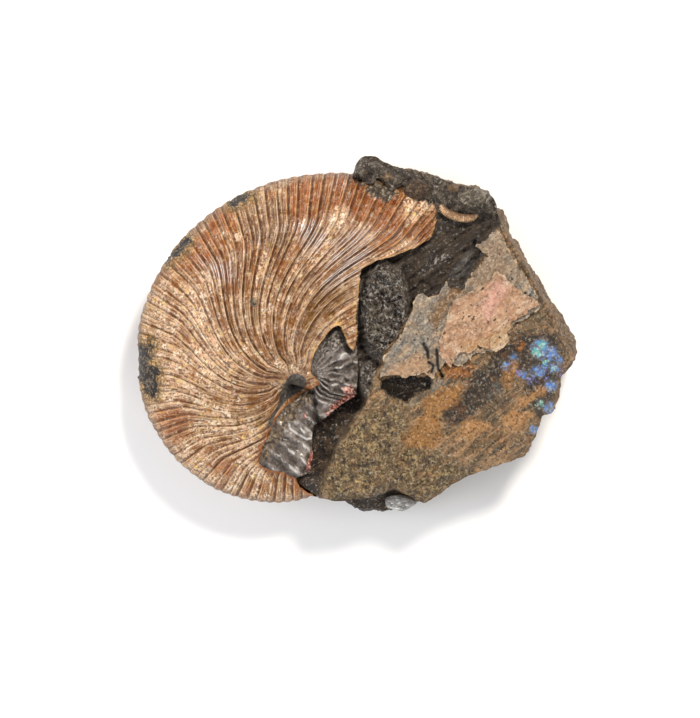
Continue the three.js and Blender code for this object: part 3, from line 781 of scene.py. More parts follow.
CRUSTS = [
    [
        (13.1, -12.9), (16.9, -10.3), (20.9, -10.3), (20.1, -13.7), (16.9, -15.3), (16.3, -17.5),
        (16.9, -20.7), (14.7, -22.7), (10.1, -22.5), (8.5, -21.3), (11.1, -18.3), (13.1, -15.7),
    ],
    [(20.7, -17.9), (23.1, -16.9), (26.5, -17.9), (26.3, -19.1), (23.1, -20.3), (20.7, -20.5)],
    [(28.5, -16.5), (31.1, -15.3), (34.3, -16.1), (32.7, -17.9), (29.3, -18.7)],
    [(17.7, -6.9), (21.1, -5.5), (23.7, -6.3), (22.3, -7.3), (18.5, -8.1)],
    [(31.1, -14.1), (36.9, -10.3), (38.1, -11.1), (33.1, -14.3)],
    [(28.9, -6.9), (31.1, -4.9), (31.9, -6.9), (30.1, -10.7), (28.7, -9.9)],
    [(14.5, -5.9), (17.7, -7.5), (16.5, -8.9), (14.5, -7.5)],
]
GRANULAR = [
    (-7.1, -31.1), (-4.3, -22.7), (-0.3, -16.7), (2.9, -13.5), (8.9, -13.9), (10.5, -18.1),
    (8.1, -21.9), (14.5, -23.5), (18.5, -25.5), (22.5, -27.9), (13.5, -33.9), (7.5, -31.1),
    (-3.5, -33.5),
]
CRACKS = [
    [(13.1, -1.9), (13.9, -3.3), (14.1, -4.7)],
    [(15.7, -3.1), (15.9, -5.3), (16.1, -6.9), (16.9, -8.3)],
    [(14.1, -5.5), (15.1, -6.3), (14.7, -7.5)],
]
CRACK_WIDTH = 0.35
GREY_SMEARS = [
    [(14.9, -8.3), (17.7, -7.5), (18.9, -9.9), (16.5, -11.9), (13.3, -12.7), (10.5, -13.9), (12.5, -11.9)],
    [(25.3, -12.1), (27.9, -9.7), (28.5, -11.5), (26.1, -13.1)],
]
BLUE_GLINTS = [
    (36.5, -2.9, 1.8), (38.7, -3.7, 1.2), (35.9, -7.3, 1.0), (37.7, -6.1, 0.6), (39.1, -6.7, 0.6),
    (38.3, -14.7, 1.0), (34.9, -18.9, 0.6), (38.5, -10.3, 1.0), (40.1, -5.3, 0.6), (33.3, -8.1, 0.6),
    (29.5, -6.3, 0.6), (31.1, -4.5, 0.4),
]
CYAN_GLINTS = [
    (35.7, -3.5, 1.0), (36.7, -2.1, 0.8), (36.3, -13.9, 0.6), (37.5, -5.5, 0.4), (39.3, -6.9, 0.4),
]
VIOLET_GLINTS = [
    (34.1, -9.1, 0.8), (35.9, -8.9, 0.8), (32.3, -7.5, 0.8), (30.5, -5.5, 0.6), (37.3, -8.1, 0.8),
    (40.5, -7.5, 0.6),
]

LUMPS = [((5.2, 4.6), 4.9, 10.0, 21.3), ((2.3, -9.3), 2.3, 4.0, 19.3)]
RIM_LINE = [(-0.7, 31.3), (5.5, 32.0), (12.5, 30.3), (19.5, 28.2), (26.1, 26.3)]
KNOBS = [
    (7.5, 31.0, 1.6, 1.2), (20.2, 29.2, 2.0, 1.3), (24.4, 27.4, 2.6, 1.2), (3.4, 33.4, 1.8, 1.2),
    (0.6, 32.2, 2.0, 1.5), (16.2, 30.9, 1.8, 1.0), (26.0, 25.2, 1.4, 0.8),
]
VALLEY_HEIGHT, GROOVE_HEIGHT, FACE_HEIGHT = 17.2, 13.0, 20.5
FACE_X, FACE_Y = 20, -5
FACE_FALL, FACE_RISE = 0.04, 0.07
CAST_HEIGHT = 20.1
NODULE_X, NODULE_Y = 11.9, 29.0
FLAKE = [
    (20.3, 26.9), (21.1, 28.5), (22.5, 29.5), (24.9, 29.1), (26.7, 27.5), (26.1, 26.1), (24.1, 25.9),
    (22.7, 25.1), (20.9, 25.9),
]
LUMP_TAN = [
    (2.5, 6.1), (4.3, 5.3), (4.9, 3.3), (4.3, 1.7), (5.7, -0.3), (4.7, -1.7), (2.9, -0.3), (2.1, 2.9),
]
CRUMBS = [
    [(17.9, 29.7), (19.5, 30.1), (20.3, 29.3), (19.7, 28.3), (18.3, 28.3)],
    [(4.7, 31.7), (6.3, 32.3), (7.3, 31.3), (5.7, 30.5)],
]
# A streak painted whitish as a highlight on the lump's upper right rim.
PAINTED_SHINE = [
    (12.3, 12.3), (13.5, 13.9), (15.3, 15.1), (17.3, 15.9), (17.7, 15.1), (15.9, 13.9), (14.5, 12.7),
    (13.1, 11.5),
]
MOUND = [
    (17.1, -5.9), (18.9, -5.1), (21.7, -5.3), (23.1, -6.3), (22.7, -7.9), (20.9, -8.9), (18.5, -8.7),
    (17.3, -7.5),
]
RED_SPOT = [(31.3, -1.5), (32.5, -1.1), (33.3, -2.1), (32.5, -3.3), (31.5, -2.9)]
# A strip beside the pearl's left edge painted with a grey-blue sheen, streaked along the layers.
PAINTED_SHEEN = [
    (18.7, 9.3), (18.1, 11.5), (19.5, 13.9), (21.5, 15.9), (23.3, 17.1), (24.5, 16.3), (23.1, 13.7),
    (21.9, 11.3), (20.5, 9.1),
]
LEDGE_STONE = [
    (-5.5, -32.9), (0.5, -32.7), (5.3, -31.5), (7.7, -30.9), (10.1, -33.1), (10.9, -37.1),
    (-5.5, -37.1),
]


def outline_radius(outline, angle):
    """Distance from the rock's middle to an outline, in the direction of an angle."""
    dx, dy = np.cos(angle), np.sin(angle)
    farthest = np.zeros(np.shape(angle))
    for (ax, ay), (bx, by) in zip(outline, outline[1:] + outline[:1]):
        px, py, ex, ey = ax - ROCK_X, ay - ROCK_Y, bx - ax, by - ay
        cross = dx * ey - dy * ex
        cross = np.where(np.abs(cross) < 1e-9, 1e-9, cross)
        reach = (px * ey - py * ex) / cross
        share = (px * dy - py * dx) / cross
        hit = (reach > farthest) & (share >= 0) & (share <= 1)
        farthest = np.where(hit, reach, farthest)
    return farthest


def face_plane(x, y):
    return FACE_HEIGHT - FACE_FALL * (x - FACE_X) + FACE_RISE * (y - FACE_Y)


def cast_height(x, y):
    """The cast's smooth top, without its folds."""
    return CAST_HEIGHT + 1.2 * smooth(y, -16, 0) - 0.9 * (1 - smooth(y, -28, -18))


def rock_height(x, y, inside):
    """The rock's upper surface at points in plan that lie inside its edge by so much."""
    broad = grain(x, y, 0, 9.0, 3)
    middling = grain(x, y, 0, 2.6, 4, 5.0)
    fine = grain(x, y, 0, 0.9, 3, 9.0)
    creased = np.abs(grain(x, y, 0, 3.2, 3, 7.0)) - 0.2
    # The shale splits along layers that run from upper right to lower left.
    along, across = 0.78 * x + 0.63 * y, 0.78 * y - 0.63 * x
    granular = smooth(-signed_distance(x, y, GRANULAR), -1.0, 2.0)
    drift = grain(along / 6.0, across / 1.8, 0, 1.0, 4, 3.0)
    face = face_plane(x, y) - 0.25 + 0.3 * broad + 0.3 * drift + (0.14 + 0.45 * granular) * middling
    face += (0.08 + 0.22 * granular) * fine
    face -= 0.8 * smooth(-signed_distance(x, y, BAND) + 0.6 * middling, -0.4, 1.2)
    face += 0.3 * smooth(-nearest_of(x, y, CRUSTS) + 0.5 * middling, -0.1, 0.5)
    face -= 1.5 * smooth(-signed_distance(x, y, BLACK_HOLLOW) + 0.9 * middling, -0.1, 0.5)
    for crack in CRACKS:
        face -= 1.2 * np.exp(-((distance_to_line(x, y, crack) / CRACK_WIDTH) ** 2))

    layers = grain(along / 5.0, across / 1.5, 0, 1.0, 4)
    step = across / 2.3 + 0.5 * grain(along / 5.0, across / 4.0, 0, 1.0, 2, 6.0)
    steps = (step - np.floor(step)) ** 0.6
    low = VALLEY_HEIGHT + 0.8 * layers + 0.8 * (0.6 - steps) + 0.5 * middling + 0.3 * fine
    in_groove = smooth(-y, 6, 14)
    bottom = GROOVE_HEIGHT + 3.6 * smooth(-y, 25.0, 29.5) + 0.5 * broad + 0.3 * middling + 0.1 * fine
    low = low * (1 - in_groove) + bottom * in_groove
    for (cx, cy), half_width, half_length, height in LUMPS:
        ring = np.hypot((x - cx) / half_width, (y - cy) / half_length) + 0.1 * middling
        on = 1 - smooth(ring, 0.75, 1.12)
        low = low * (1 - on) + (height + 1.0 * middling + 0.9 * fine + 2.0 * creased) * on
    shell, share = shell_top(x, y)
    kept = signed_distance(x, y, SHELL_KEPT)
    on = 1 - smooth(distance_to_line(x, y, RIM_LINE) + 0.8 * middling, 1.2, 4.4)
    low = low * (1 - on) + (17.5 + 0.12 * x + 1.3 * middling + 0.6 * fine + 1.8 * creased) * on
    by_shell = 1 - smooth(kept, -0.5, 4.5)
    lapping = np.maximum(shell, 15.2) + 0.35 + 0.7 * middling + 0.8 * creased
    low = low + by_shell * (np.minimum(low, lapping) - low)
    for cx, cy, radius, height in KNOBS:
        low += height * (1 - smooth(np.hypot(x - cx, y - cy) + 0.3 * fine, 0.3 * radius, radius))
    nodule = np.hypot((x - NODULE_X) / 2.6, (y - NODULE_Y) / 1.9)
    low += 1.5 * np.sqrt(np.clip(1 - nodule**2, 0, 1)) - 0.6 * np.exp(-(((nodule - 1.1) / 0.12) ** 2))
    low -= 0.35 * np.exp(-(((nodule - 0.62) / 0.07) ** 2))

    flaked = signed_distance(x, y, FLAKE) + 0.3 * fine
    low += 0.3 * smooth(-flaked, -0.1, 0.2) + 0.3 * smooth(-flaked + 0.5 * layers, 0.4, 0.7)
    low += 0.5 * smooth(-nearest_of(x, y, CRUMBS) + 0.4 * fine, -0.1, 0.5)

    on_face = smooth(-signed_distance(x, y, FACE_SIDE) + 0.5 * middling, -0.5, 0.5)
    top = low * (1 - on_face) + face * on_face
    top -= 1.2 * (1 - smooth(inside + 0.3 * middling, 0, 2.0))

    # Under the shell and the cast the rock keeps below them.
    pit = signed_distance(x, y, NAVEL_PIT)
    lap = 0.02 + 0.045 * middling
    under = smooth(-kept, 0.1, 0.9) * smooth(1 - share, lap, lap + 0.03) * smooth(nodule, 1.0, 1.25)
    limit = shell - 1.4 - 5 * smooth(-kept, 0.8, 2.6) - 5 * smooth(1.6 - pit, 0, 0.8)
    top = np.where(under > 0, top + under * (np.minimum(top, limit) - top), top)
    under_cast = smooth(-signed_distance(x, y, CAST_EDGE), 0.0, 0.6)
    return top + under_cast * (np.minimum(top, cast_height(x, y) - 4.0) - top)


def glint_distance(x, y, spots):
    """Millimetres to the rim of the nearest of several round spots, negative inside any."""
    return np.min([np.hypot(x - cx, y - cy) - radius for cx, cy, radius in spots], axis=0)


def crack_distance(x, y):
    return np.min([distance_to_line(x, y, crack) for crack in CRACKS], axis=0)


def ball_mesh(name, segments, rings):
    """A sphere with a radius of 1 mm."""
    ball = bmesh.new()
    bmesh.ops.create_uvsphere(ball, u_segments=segments, v_segments=rings, radius=MM)
    mesh = bpy.data.meshes.new(name)
    ball.to_mesh(mesh)
    ball.free()
    return mesh


def make_rock():
    rings = TOP_RINGS + WALL_RINGS + BASE_RINGS
    mesh = ball_mesh("matrix_rock", SPOKES, rings)
    px, py, pz = get_points(mesh).T
    ring = np.round(np.arccos(np.clip(pz, -1, 1)) / math.pi * rings)
    angle = np.arctan2(py, px)
    top_edge = outline_radius(TOP_EDGE, angle)
    edge_x, edge_y = ROCK_X + top_edge * np.cos(angle), ROCK_Y + top_edge * np.sin(angle)
    top_edge += 0.35 * grain(edge_x, edge_y, 0, 2.2, 3)

    on_top = ring <= TOP_RINGS
    down = np.clip((ring - TOP_RINGS) / WALL_RINGS, 0, 1)
    height_share = np.interp(down, [0, 0.25, 0.55, 0.65, 0.9, 1], [1, 0.8, 0.52, 0.45, 0.12, 0])
    inset = np.interp(down, [0, 0.25, 0.55, 0.65, 0.9, 1], [0, 0, 0.7, 0.7, 1.2, 2.6])
    widest = outline_radius(WIDEST, angle)
    foot = outline_radius(FOOT, angle)
    wall = top_edge + (widest - top_edge) * smooth(down, 0, 0.25)
    wall = wall + (foot - wall) * smooth(down, 0.55, 0.66) - inset
    inwards = np.clip((ring - TOP_RINGS - WALL_RINGS) / BASE_RINGS, 0, 1)
    radius = np.where(on_top, top_edge * ring / TOP_RINGS, wall * (1 - inwards))
    x, y = ROCK_X + radius * np.cos(angle), ROCK_Y + radius * np.sin(angle)
    inside = np.where(on_top, top_edge - radius, 0)
    top = rock_height(x, y, inside)
    edge_x, edge_y = ROCK_X + top_edge * np.cos(angle), ROCK_Y + top_edge * np.sin(angle)
    edge_height = rock_height(edge_x, edge_y, np.zeros(len(x)))
    z = np.where(on_top, top, edge_height * height_share)
    wall_grain = 0.8 * grain(x, y, 1.6 * z, 5.0, 4, 2.0) + 0.3 * grain(x, y, 2.5 * z, 1.3, 3, 4.0)
    chip = smooth(down, 0.02, 0.3) * (1 - smooth(inwards, 0, 0.3)) * (wall_grain - 0.25)
    x, y = x + chip * np.cos(angle), y + chip * np.sin(angle)
    set_points(mesh, (x, y, np.maximum(z, 0)))

    # What lies on the rock's top doesn't run down its walls.
    below = np.where(on_top, 0, 3 * (edge_height - z))
    for name, values in {
        "face": signed_distance(x, y, FACE_SIDE) + 0.9 * smooth(y, 4, 8),
        "mound": nearest_of(x, y, [MOUND, RED_SPOT]) + below,
        "painted_sheen": signed_distance(x, y, PAINTED_SHEEN) + below,
        "painted_shine": signed_distance(x, y, PAINTED_SHINE) + below,
        "granular": signed_distance(x, y, GRANULAR),
        "crust": nearest_of(x, y, CRUSTS) + below,
        "band": nearest_of(x, y, [BAND, DARK_CORNER]) + 0.3 * below,
        "hollow": np.minimum(
            signed_distance(x, y, BLACK_HOLLOW),
            crack_distance(x, y) - 0.18,
        ),
        "smear": nearest_of(x, y, GREY_SMEARS),
        "blue": glint_distance(x, y, BLUE_GLINTS) + below,
        "cyan": glint_distance(x, y, CYAN_GLINTS) + below,
        "violet": glint_distance(x, y, VIOLET_GLINTS) + below,
        "haze": glint_distance(x, y, BLUE_GLINTS + CYAN_GLINTS) + below,
        "lump": np.min(
            [
                (np.hypot((x - cx) / half_width, (y - cy) / half_length) - 1) * half_width
                for (cx, cy), half_width, half_length, _ in LUMPS
            ],
            axis=0,
        ),
        "rim": distance_to_line(x, y, RIM_LINE) - 3.8,
        "groove": np.maximum(y + 8.5, -signed_distance(x, y, FACE_SIDE) - 0.3),
        "ledge": signed_distance(x, y, LEDGE_STONE),
        "nodule": 2.2 * np.hypot((x - NODULE_X) / 2.5, (y - NODULE_Y) / 1.8) - 2.2,
        "flake": signed_distance(x, y, FLAKE),
        "lump_tan": signed_distance(x, y, LUMP_TAN),
        "sand": nearest_of(x, y, CRUSTS[1:3] + CRUSTS[4:5]),
        "crumbs": nearest_of(x, y, CRUMBS),
        "crease": np.where(on_top & (y > -8) & (x > 20), np.abs(inside - 0.8) - 0.15, 2.0),
        "wall": np.where(on_top, 1.5 * inside, -2.0),
    }.items():
        mark(mesh, name, values)
    return mesh


def leaning(material, mm, degrees, stretch):
    """The place measured along layers that run at an angle, stretched along each axis."""
    ends = {"Vector": mm, "Rotation": (0, 0, math.radians(degrees)), "Scale": stretch}
    return add(material, "ShaderNodeMapping", ends, vector_type="TEXTURE").outputs[0]


# Shale with weathered crusts: dull and gritty, dark grey-brown where it is fresh, tan and
# rusty where the weather reached it, and painted with the bright iridescent sheen of a film of
# pearl where one is left. Its sparkles, shine and silver sheen are painted highlights, and its deep
# groove is partly painted shade.

def dark_shale():
    stone = blank("dark_shale")
    mm = in_mm(stone)
    zone = ragged_zones(stone, mm, {
        "face": (0.25, 1.2, 1.0),
        "granular": (1.5, 2.0, 4.0),
        "crust": (0.4, 1.2, 3.0),
        "band": (0.8, 1.6, 3.6),
        "hollow": (0.2, 1.0, 2.6),
        "smear": (0.8, 0.9, 2.6),
        "blue": (0.3, 0.6, 3.8),
        "cyan": (0.3, 0.5, 3.2),
        "violet": (0.3, 0.6, 4.4),
        "haze": (0.8, 1.2, 2.5),
        "lump": (0.6, 1.0, 1.6),
        "rim": (0.8, 1.5, 2.4),
        "groove": (1.2, 2.0, 1.5),
        "ledge": (0.4, 0.8, 0.8),
        "nodule": (0.15, 0.5, 0.3),
        "flake": (0.15, 0.8, 1.4),
        "lump_tan": (0.3, 1.0, 1.8),
        "sand": (0.5, 1.2, 3.2),
        "crumbs": (0.15, 0.7, 1.2),
        "crease": (0.2, 1.0, 0.5),
        "wall": (0.4, 1.0, 0.6),
        "mound": (0.3, 0.9, 1.8),
        "painted_sheen": (0.6, 1.0, 2.4),
        "painted_shine": (0.3, 0.8, 1.8),
    })
    # The layers of the shale run from upper right to lower left.
    turned = leaning(stone, mm, 38, (5.5, 0.9, 1.7))
    pattern, mask = noise_masks(stone, {
        "layer": (turned, 1.0, 6.0, (0.44, 0.66)),
        "seam": (turned, 0.6, 5.0, (0.56, 0.62)),
        "drift": (turned, 1.4, 7.0, (0.46, 0.58)),
        "dark_drift": (turned, 1.1, 7.0, (0.5, 0.59)),
        "cloud": (mm, 5.0, 6.0, (0.42, 0.58)),
        "blotch": (mm, 1.4, 5.0, (0.48, 0.6)),
        "fine": (mm, 0.75, 4.0, (0.5, 0.6)),
        "crumb": (mm, 1.8, 6.0, (0.5, 0.56)),
        # Sparse specks for painted sparkle highlights.
        "painted_sparkle": (mm, 0.6, 3.0, (0.59, 0.63)),
        "rust": (mm, 2.2, 6.0, (0.55, 0.65)),
        "patchy": (mm, 3.0, 4.0, (0.4, 0.6)),
        "hole": (mm, 1.3, 5.0, (0.56, 0.62)),
        "knot": (mm, 1.1, 5.0, (0.56, 0.62)),
        "spread": (mm, 1.1, 5.0, (0.45, 0.53)),
    })
    light, dark, _ = grains_of(stone, mm, 0.36)
    # The coarse grains are 0.7 mm across and wander off a regular packing.
    wander = add(stone, "ShaderNodeVectorMath", {0: mm, 1: pattern["crumb"]}).outputs[0]
    big_light, big_dark, bulge = grains_of(stone, wander, 0.7)

    tone = lay_colours(stone, linear("#352B23"), (
        ("#66543F", 0.9, mask["layer"]),
        ("#A39A8C", 0.55, mask["seam"], mask["blotch"]),
        # Painted grey-blue sheen beside the pearl's left edge.
        ("#6E675E", 0.7, zone["painted_sheen"], mask["drift"]),
        ("#98A2AA", 0.85, zone["painted_sheen"], mask["seam"]),
        # The groove beside the cast is painted dark, partly its dark crumbly rock and partly painted shade
        # in the deep recess.
        ("#2E251F", 0.85, zone["groove"]),
        # Painted highlight streak on the lump's rim.
        ("#C9C5BE", 0.8, zone["painted_shine"], mask["fine"]),
        ("#705A45", 0.7, zone["groove"], mask["crumb"]),
        ("#16110E", 0.6, zone["groove"], mask["hole"]),
        ("#C8BCA8", 0.6, zone["groove"], mask["painted_sparkle"]),
        ("#4A4037", 0.8, zone["rim"]),
        ("#8F826E", 0.7, zone["rim"], mask["blotch"]),
        ("#B5AB9A", 0.6, zone["rim"], mask["painted_sparkle"]),
        ("#1E1916", 0.5, zone["rim"], big_dark),
        ("#574C42", 0.9, zone["lump"]),
        ("#8C8072", 0.7, zone["lump"], mask["blotch"]),
        # Painted glints on the glossy lump: the pale grey and white spots laid on it below, not its tan
        # patch.
        ("#C0B9AE", 0.75, zone["lump"], mask["fine"], mask["blotch"]),
        ("#97896B", 0.8, zone["lump_tan"], mask["blotch"]),
        ("#E4DED2", 0.65, zone["lump"], mask["painted_sparkle"]),
        ("#E2DCD2", 0.9, zone["lump"], mask["knot"]),
        ("#0F0D0C", 0.55, zone["lump"], big_dark),
        ("#75603F", 1.0, zone["face"]),
        ("#A08260", 0.8, zone["face"], mask["cloud"]),
        ("#CC9E6E", 0.8, zone["face"], mask["drift"]),
        ("#453B33", 0.65, zone["face"], mask["dark_drift"]),
        ("#6E5A3C", 0.75, zone["granular"]),
        ("#B5965F", 0.75, zone["granular"], mask["blotch"]),
        ("#D2BA88", 0.6, zone["granular"], big_light, mask["blotch"]),
        ("#231D17", 0.75, zone["granular"], big_dark, mask["crumb"]),
        ("#1E1813", 0.6, zone["granular"], mask["crumb"], mask["patchy"]),
        ("#1E1813", 0.85, zone["granular"], mask["hole"]),
        ("#D8BE8C", 0.75, zone["granular"], mask["knot"]),
        ("#2E241C", 0.85, zone["crease"]),
        ("#7A6148", 0.85, zone["wall"]),
        ("#A88660", 0.55, zone["wall"], mask["blotch"]),
        ("#352D26", 0.9, zone["band"]),
        ("#9A9182", 0.8, zone["band"], mask["blotch"], mask["fine"]),
        ("#16110E", 0.6, zone["band"], mask["hole"]),
        ("#8E8F85", 0.75, zone["smear"], mask["cloud"]),
        ("#B7803F", 0.85, zone["crust"]),
        ("#94632E", 0.6, zone["crust"], mask["patchy"]),
        ("#DBA970", 0.5, zone["crust"], mask["fine"]),
        ("#CF9A63", 0.75, zone["sand"]),
        ("#AC6A2C", 0.9, zone["mound"]),
        ("#D08E4E", 0.6, zone["mound"], mask["fine"]),
        ("#33200F", 0.8, zone["mound"], mask["crumb"]),
        ("#A5662F", 0.35, mask["rust"], zone["face"]),
        # The ledge stone is painted dark grey, partly its own colour and partly painted shade at the rock's
        # foot.
        ("#2A231E", 0.85, zone["ledge"]),
        ("#5E5040", 0.6, zone["ledge"], mask["fine"]),
        ("#4A3626", 0.95, zone["nodule"]),
        ("#8B7358", 0.7, zone["nodule"], mask["fine"]),
        ("#6A5E4C", 0.9, zone["flake"]),
        ("#CFC4AE", 0.8, zone["flake"], mask["seam"]),
        ("#CFC4AE", 0.6, zone["flake"], mask["fine"]),
        ("#2E2820", 0.85, zone["flake"], mask["dark_drift"]),
        ("#8A6A46", 0.8, zone["crumbs"]),
        ("#231C16", 0.65, dark, zone["face"], mask["blotch"]),
        ("#231C16", 0.35, dark, zone["face"]),
        ("#E2CCA4", 0.4, light, zone["face"], mask["fine"]),
        ("#12100E", 0.95, zone["hollow"]),
        ("#6A655E", 0.6, zone["hollow"], light, mask["blotch"]),
        # Painted iridescent sheen where a film of pearl is left: a grey-blue haze, then blue, cyan and
        # violet glints.
        ("#959A9E", 0.65, zone["haze"]),
        ("#9698E2", 0.8, zone["violet"], mask["blotch"]),
        ("#6A9DEC", 0.9, zone["blue"], mask["spread"]),
        ("#B4CDEE", 0.6, zone["blue"], light),
        ("#84DCC8", 0.85, zone["cyan"], mask["spread"]),
        ("#DCF5E2", 0.6, zone["cyan"], light),
        # Painted sparkles scattered over the rock.
        ("#DCD2C2", 0.5, mask["painted_sparkle"], mask["patchy"]),
    ))
    glossy = greatest(stone, zone["lump"], zone["hollow"], zone["blue"])
    roughness = between(stone, glossy, 0.58, 0.18)
    coarse = greatest(stone, zone["granular"], zone["lump"], zone["rim"])
    coarse = between(stone, coarse, -0.1, -0.7)
    surface_of(stone, tone, roughness, (
        (bulge, coarse),
        (pattern["crumb"], 3.0),
        (pattern["fine"], 0.9),
        (pattern["hole"], -1.2),
        (pattern["drift"], 1.2),
        (light, 0.05),
        (dark, -0.06),
    ), Coat_Weight=0.08, Coat_Roughness=0.2)
    return stone


finish_piece(make_rock(), dark_shale(), "dark_rock", "rock")

# The cast. Hard grey mud that filled the lost last whorl, bared where the shell came off:
# a fan of folds beside the navel, and a strip of cushion-like swellings below it.

CAST_CELL = 0.2
CAST_WALL = 4.5
FAN_X, FAN_Y = -9.3, -7.9
SEAM = [(-8.9, -11.5), (-8.5, -13.9), (-8.1, -16.3), (-7.5, -18.7)]
REDS = [
    [
        (-6.3, -15.9), (-5.3, -14.1), (-3.3, -12.9), (-1.5, -11.5), (-0.5, -11.5), (-0.7, -12.5),
        (-2.7, -13.9), (-4.7, -15.5), (-5.9, -16.9),
    ],
    [(-3.3, -10.7), (-1.1, -10.1), (-0.7, -11.3), (-2.5, -11.7)],
    [
        (-10.3, -25.9), (-9.5, -24.3), (-9.1, -22.7), (-8.7, -22.7), (-8.7, -26.3), (-9.3, -27.5),
        (-10.1, -27.1),
    ],
    [(-10.9, -15.9), (-10.3, -15.9), (-10.3, -16.7), (-10.9, -16.7)],
]
LOOP = [
    (-13.7, -17.5), (-12.7, -17.1), (-11.1, -18.1), (-9.1, -19.5), (-8.9, -20.7), (-10.1, -20.9),
    (-12.1, -19.7), (-13.5, -18.7),
]
CRUMBLY = [
    (-9.1, -7.9), (-8.5, -5.1), (-7.1, -1.9), (-5.1, 1.3), (-3.9, 2.5), (-2.7, 0.1), (-2.1, -2.7),
    (-3.9, -3.5), (-5.9, -4.3), (-7.5, -6.3),
]
GRIME = [
    (-9.1, -10.7), (-10.9, -11.7), (-12.9, -13.1), (-14.5, -14.5), (-15.9, -16.3), (-17.1, -18.5),
    (-18.7, -22.3), (-19.5, -25.5), (-18.3, -25.5), (-16.5, -22.1), (-14.7, -20.3), (-14.1, -17.9),
    (-12.3, -17.1), (-11.5, -14.7), (-9.5, -13.9), (-8.7, -11.5),
]


def make_slab(name, outline, height, cell, torn, depth, marks):
    """A sheet that follows height(x, y) inside an outline with a torn edge, turned down by depth."""
    low_x, low_y = np.min(outline, axis=0) - 1
    high_x, high_y = np.max(outline, axis=0) + 1
    width, length = high_x - low_x, high_y - low_y
    mesh = grid_mesh(name, round(width / cell), round(length / cell), width, length)
    x, y, _ = get_points(mesh).T
    x, y = x + (low_x + high_x) / 2, y + (low_y + high_y) / 2
    inside = -signed_distance(x, y, outline)
    set_points(mesh, (x, y, height(x, y, inside)))
    mark(mesh, "edge", inside)
    for attribute, values in marks(x, y).items():
        mark(mesh, attribute, values)

    def beyond(px, py, pz):
        ragged = grain(px, py, 0, 1.8, 3, 6.0)
        return signed_distance(px, py, outline) + torn * ragged

    sheet = bmesh.new()
    sheet.from_mesh(mesh)
    trim_to(sheet, beyond, 1.3 * cell)
    loose = [v for v in sheet.verts if not v.link_faces]
    bmesh.ops.delete(sheet, geom=loose, context="VERTS")
    rim_down(sheet, lambda vertex: vertex.co.z / MM - depth)
    return write_back(sheet, mesh)


def cast_turns(x, y):
    """Folds counted across the cast: round a fan beside the navel, then down the strip."""
    stray = grain(x, y, 0, 3.0, 2, 8.0)
    fan = 4.0 * np.arctan2(y - FAN_Y, x - FAN_X) + 0.6 * stray
    steps = (0.64 * x + 0.77 * y) / 2.4 + 0.2 * stray
    lower = smooth(-y, 11.0, 14.0)
    return fan * (1 - lower) + steps * lower


def cast_folds(x, y):
    """The folds' height, from about -1 to 1."""
    folds = 1 - 2 * np.abs(np.sin(math.pi * cast_turns(x, y))) ** 0.8
    uneven = 0.7 + 0.6 * grain(x, y, 0, 2.5, 2, 12.0)
    return folds * uneven * smooth(np.hypot(x - FAN_X, y - FAN_Y), 1.0, 3.0)


def cast_top(x, y, inside):
    seam = np.exp(-((distance_to_line(x, y, SEAM) / 0.4) ** 2))
    wrinkles = 0.22 * grain(x, y, 0, 2.0, 4, 1.0) + 0.12 * grain(x, y, 0, 0.7, 3, 2.0)
    grimy = smooth(-signed_distance(x, y, GRIME), -0.3, 0.5)
    folds = cast_folds(x, y)
    rounding = 1.3 * (1 - smooth(inside, 0, 1.4)) * smooth(x - 0.35 * y, -9.0, -5.0)
    folds = 0.7 * folds * (1 - 0.8 * grimy)
    loop = 0.4 * np.exp(-((signed_distance(x, y, LOOP) / 0.3) ** 2))
    return cast_height(x, y) + folds + loop + wrinkles - 1.3 * seam - rounding - 0.35 - 0.4 * grimy


def cast_marks(x, y):
    return {
        "fold": cast_folds(x, y),
        "turn": cast_turns(x, y),
        "seam": distance_to_line(x, y, SEAM) - 0.3,
        "red": nearest_of(x, y, REDS),
        "grime": signed_distance(x, y, GRIME),
        "crumbly": signed_distance(x, y, CRUMBLY),
        "loop": np.exp(-((signed_distance(x, y, LOOP) / 0.2) ** 2)),
    }


# Calcite-cemented mudstone, polished by the shell that it was cast in: dark grey and glossy,
# paler along the folds by painted highlight and darker in the dips by painted shade, with
# scraps of red pearl still stuck to it.

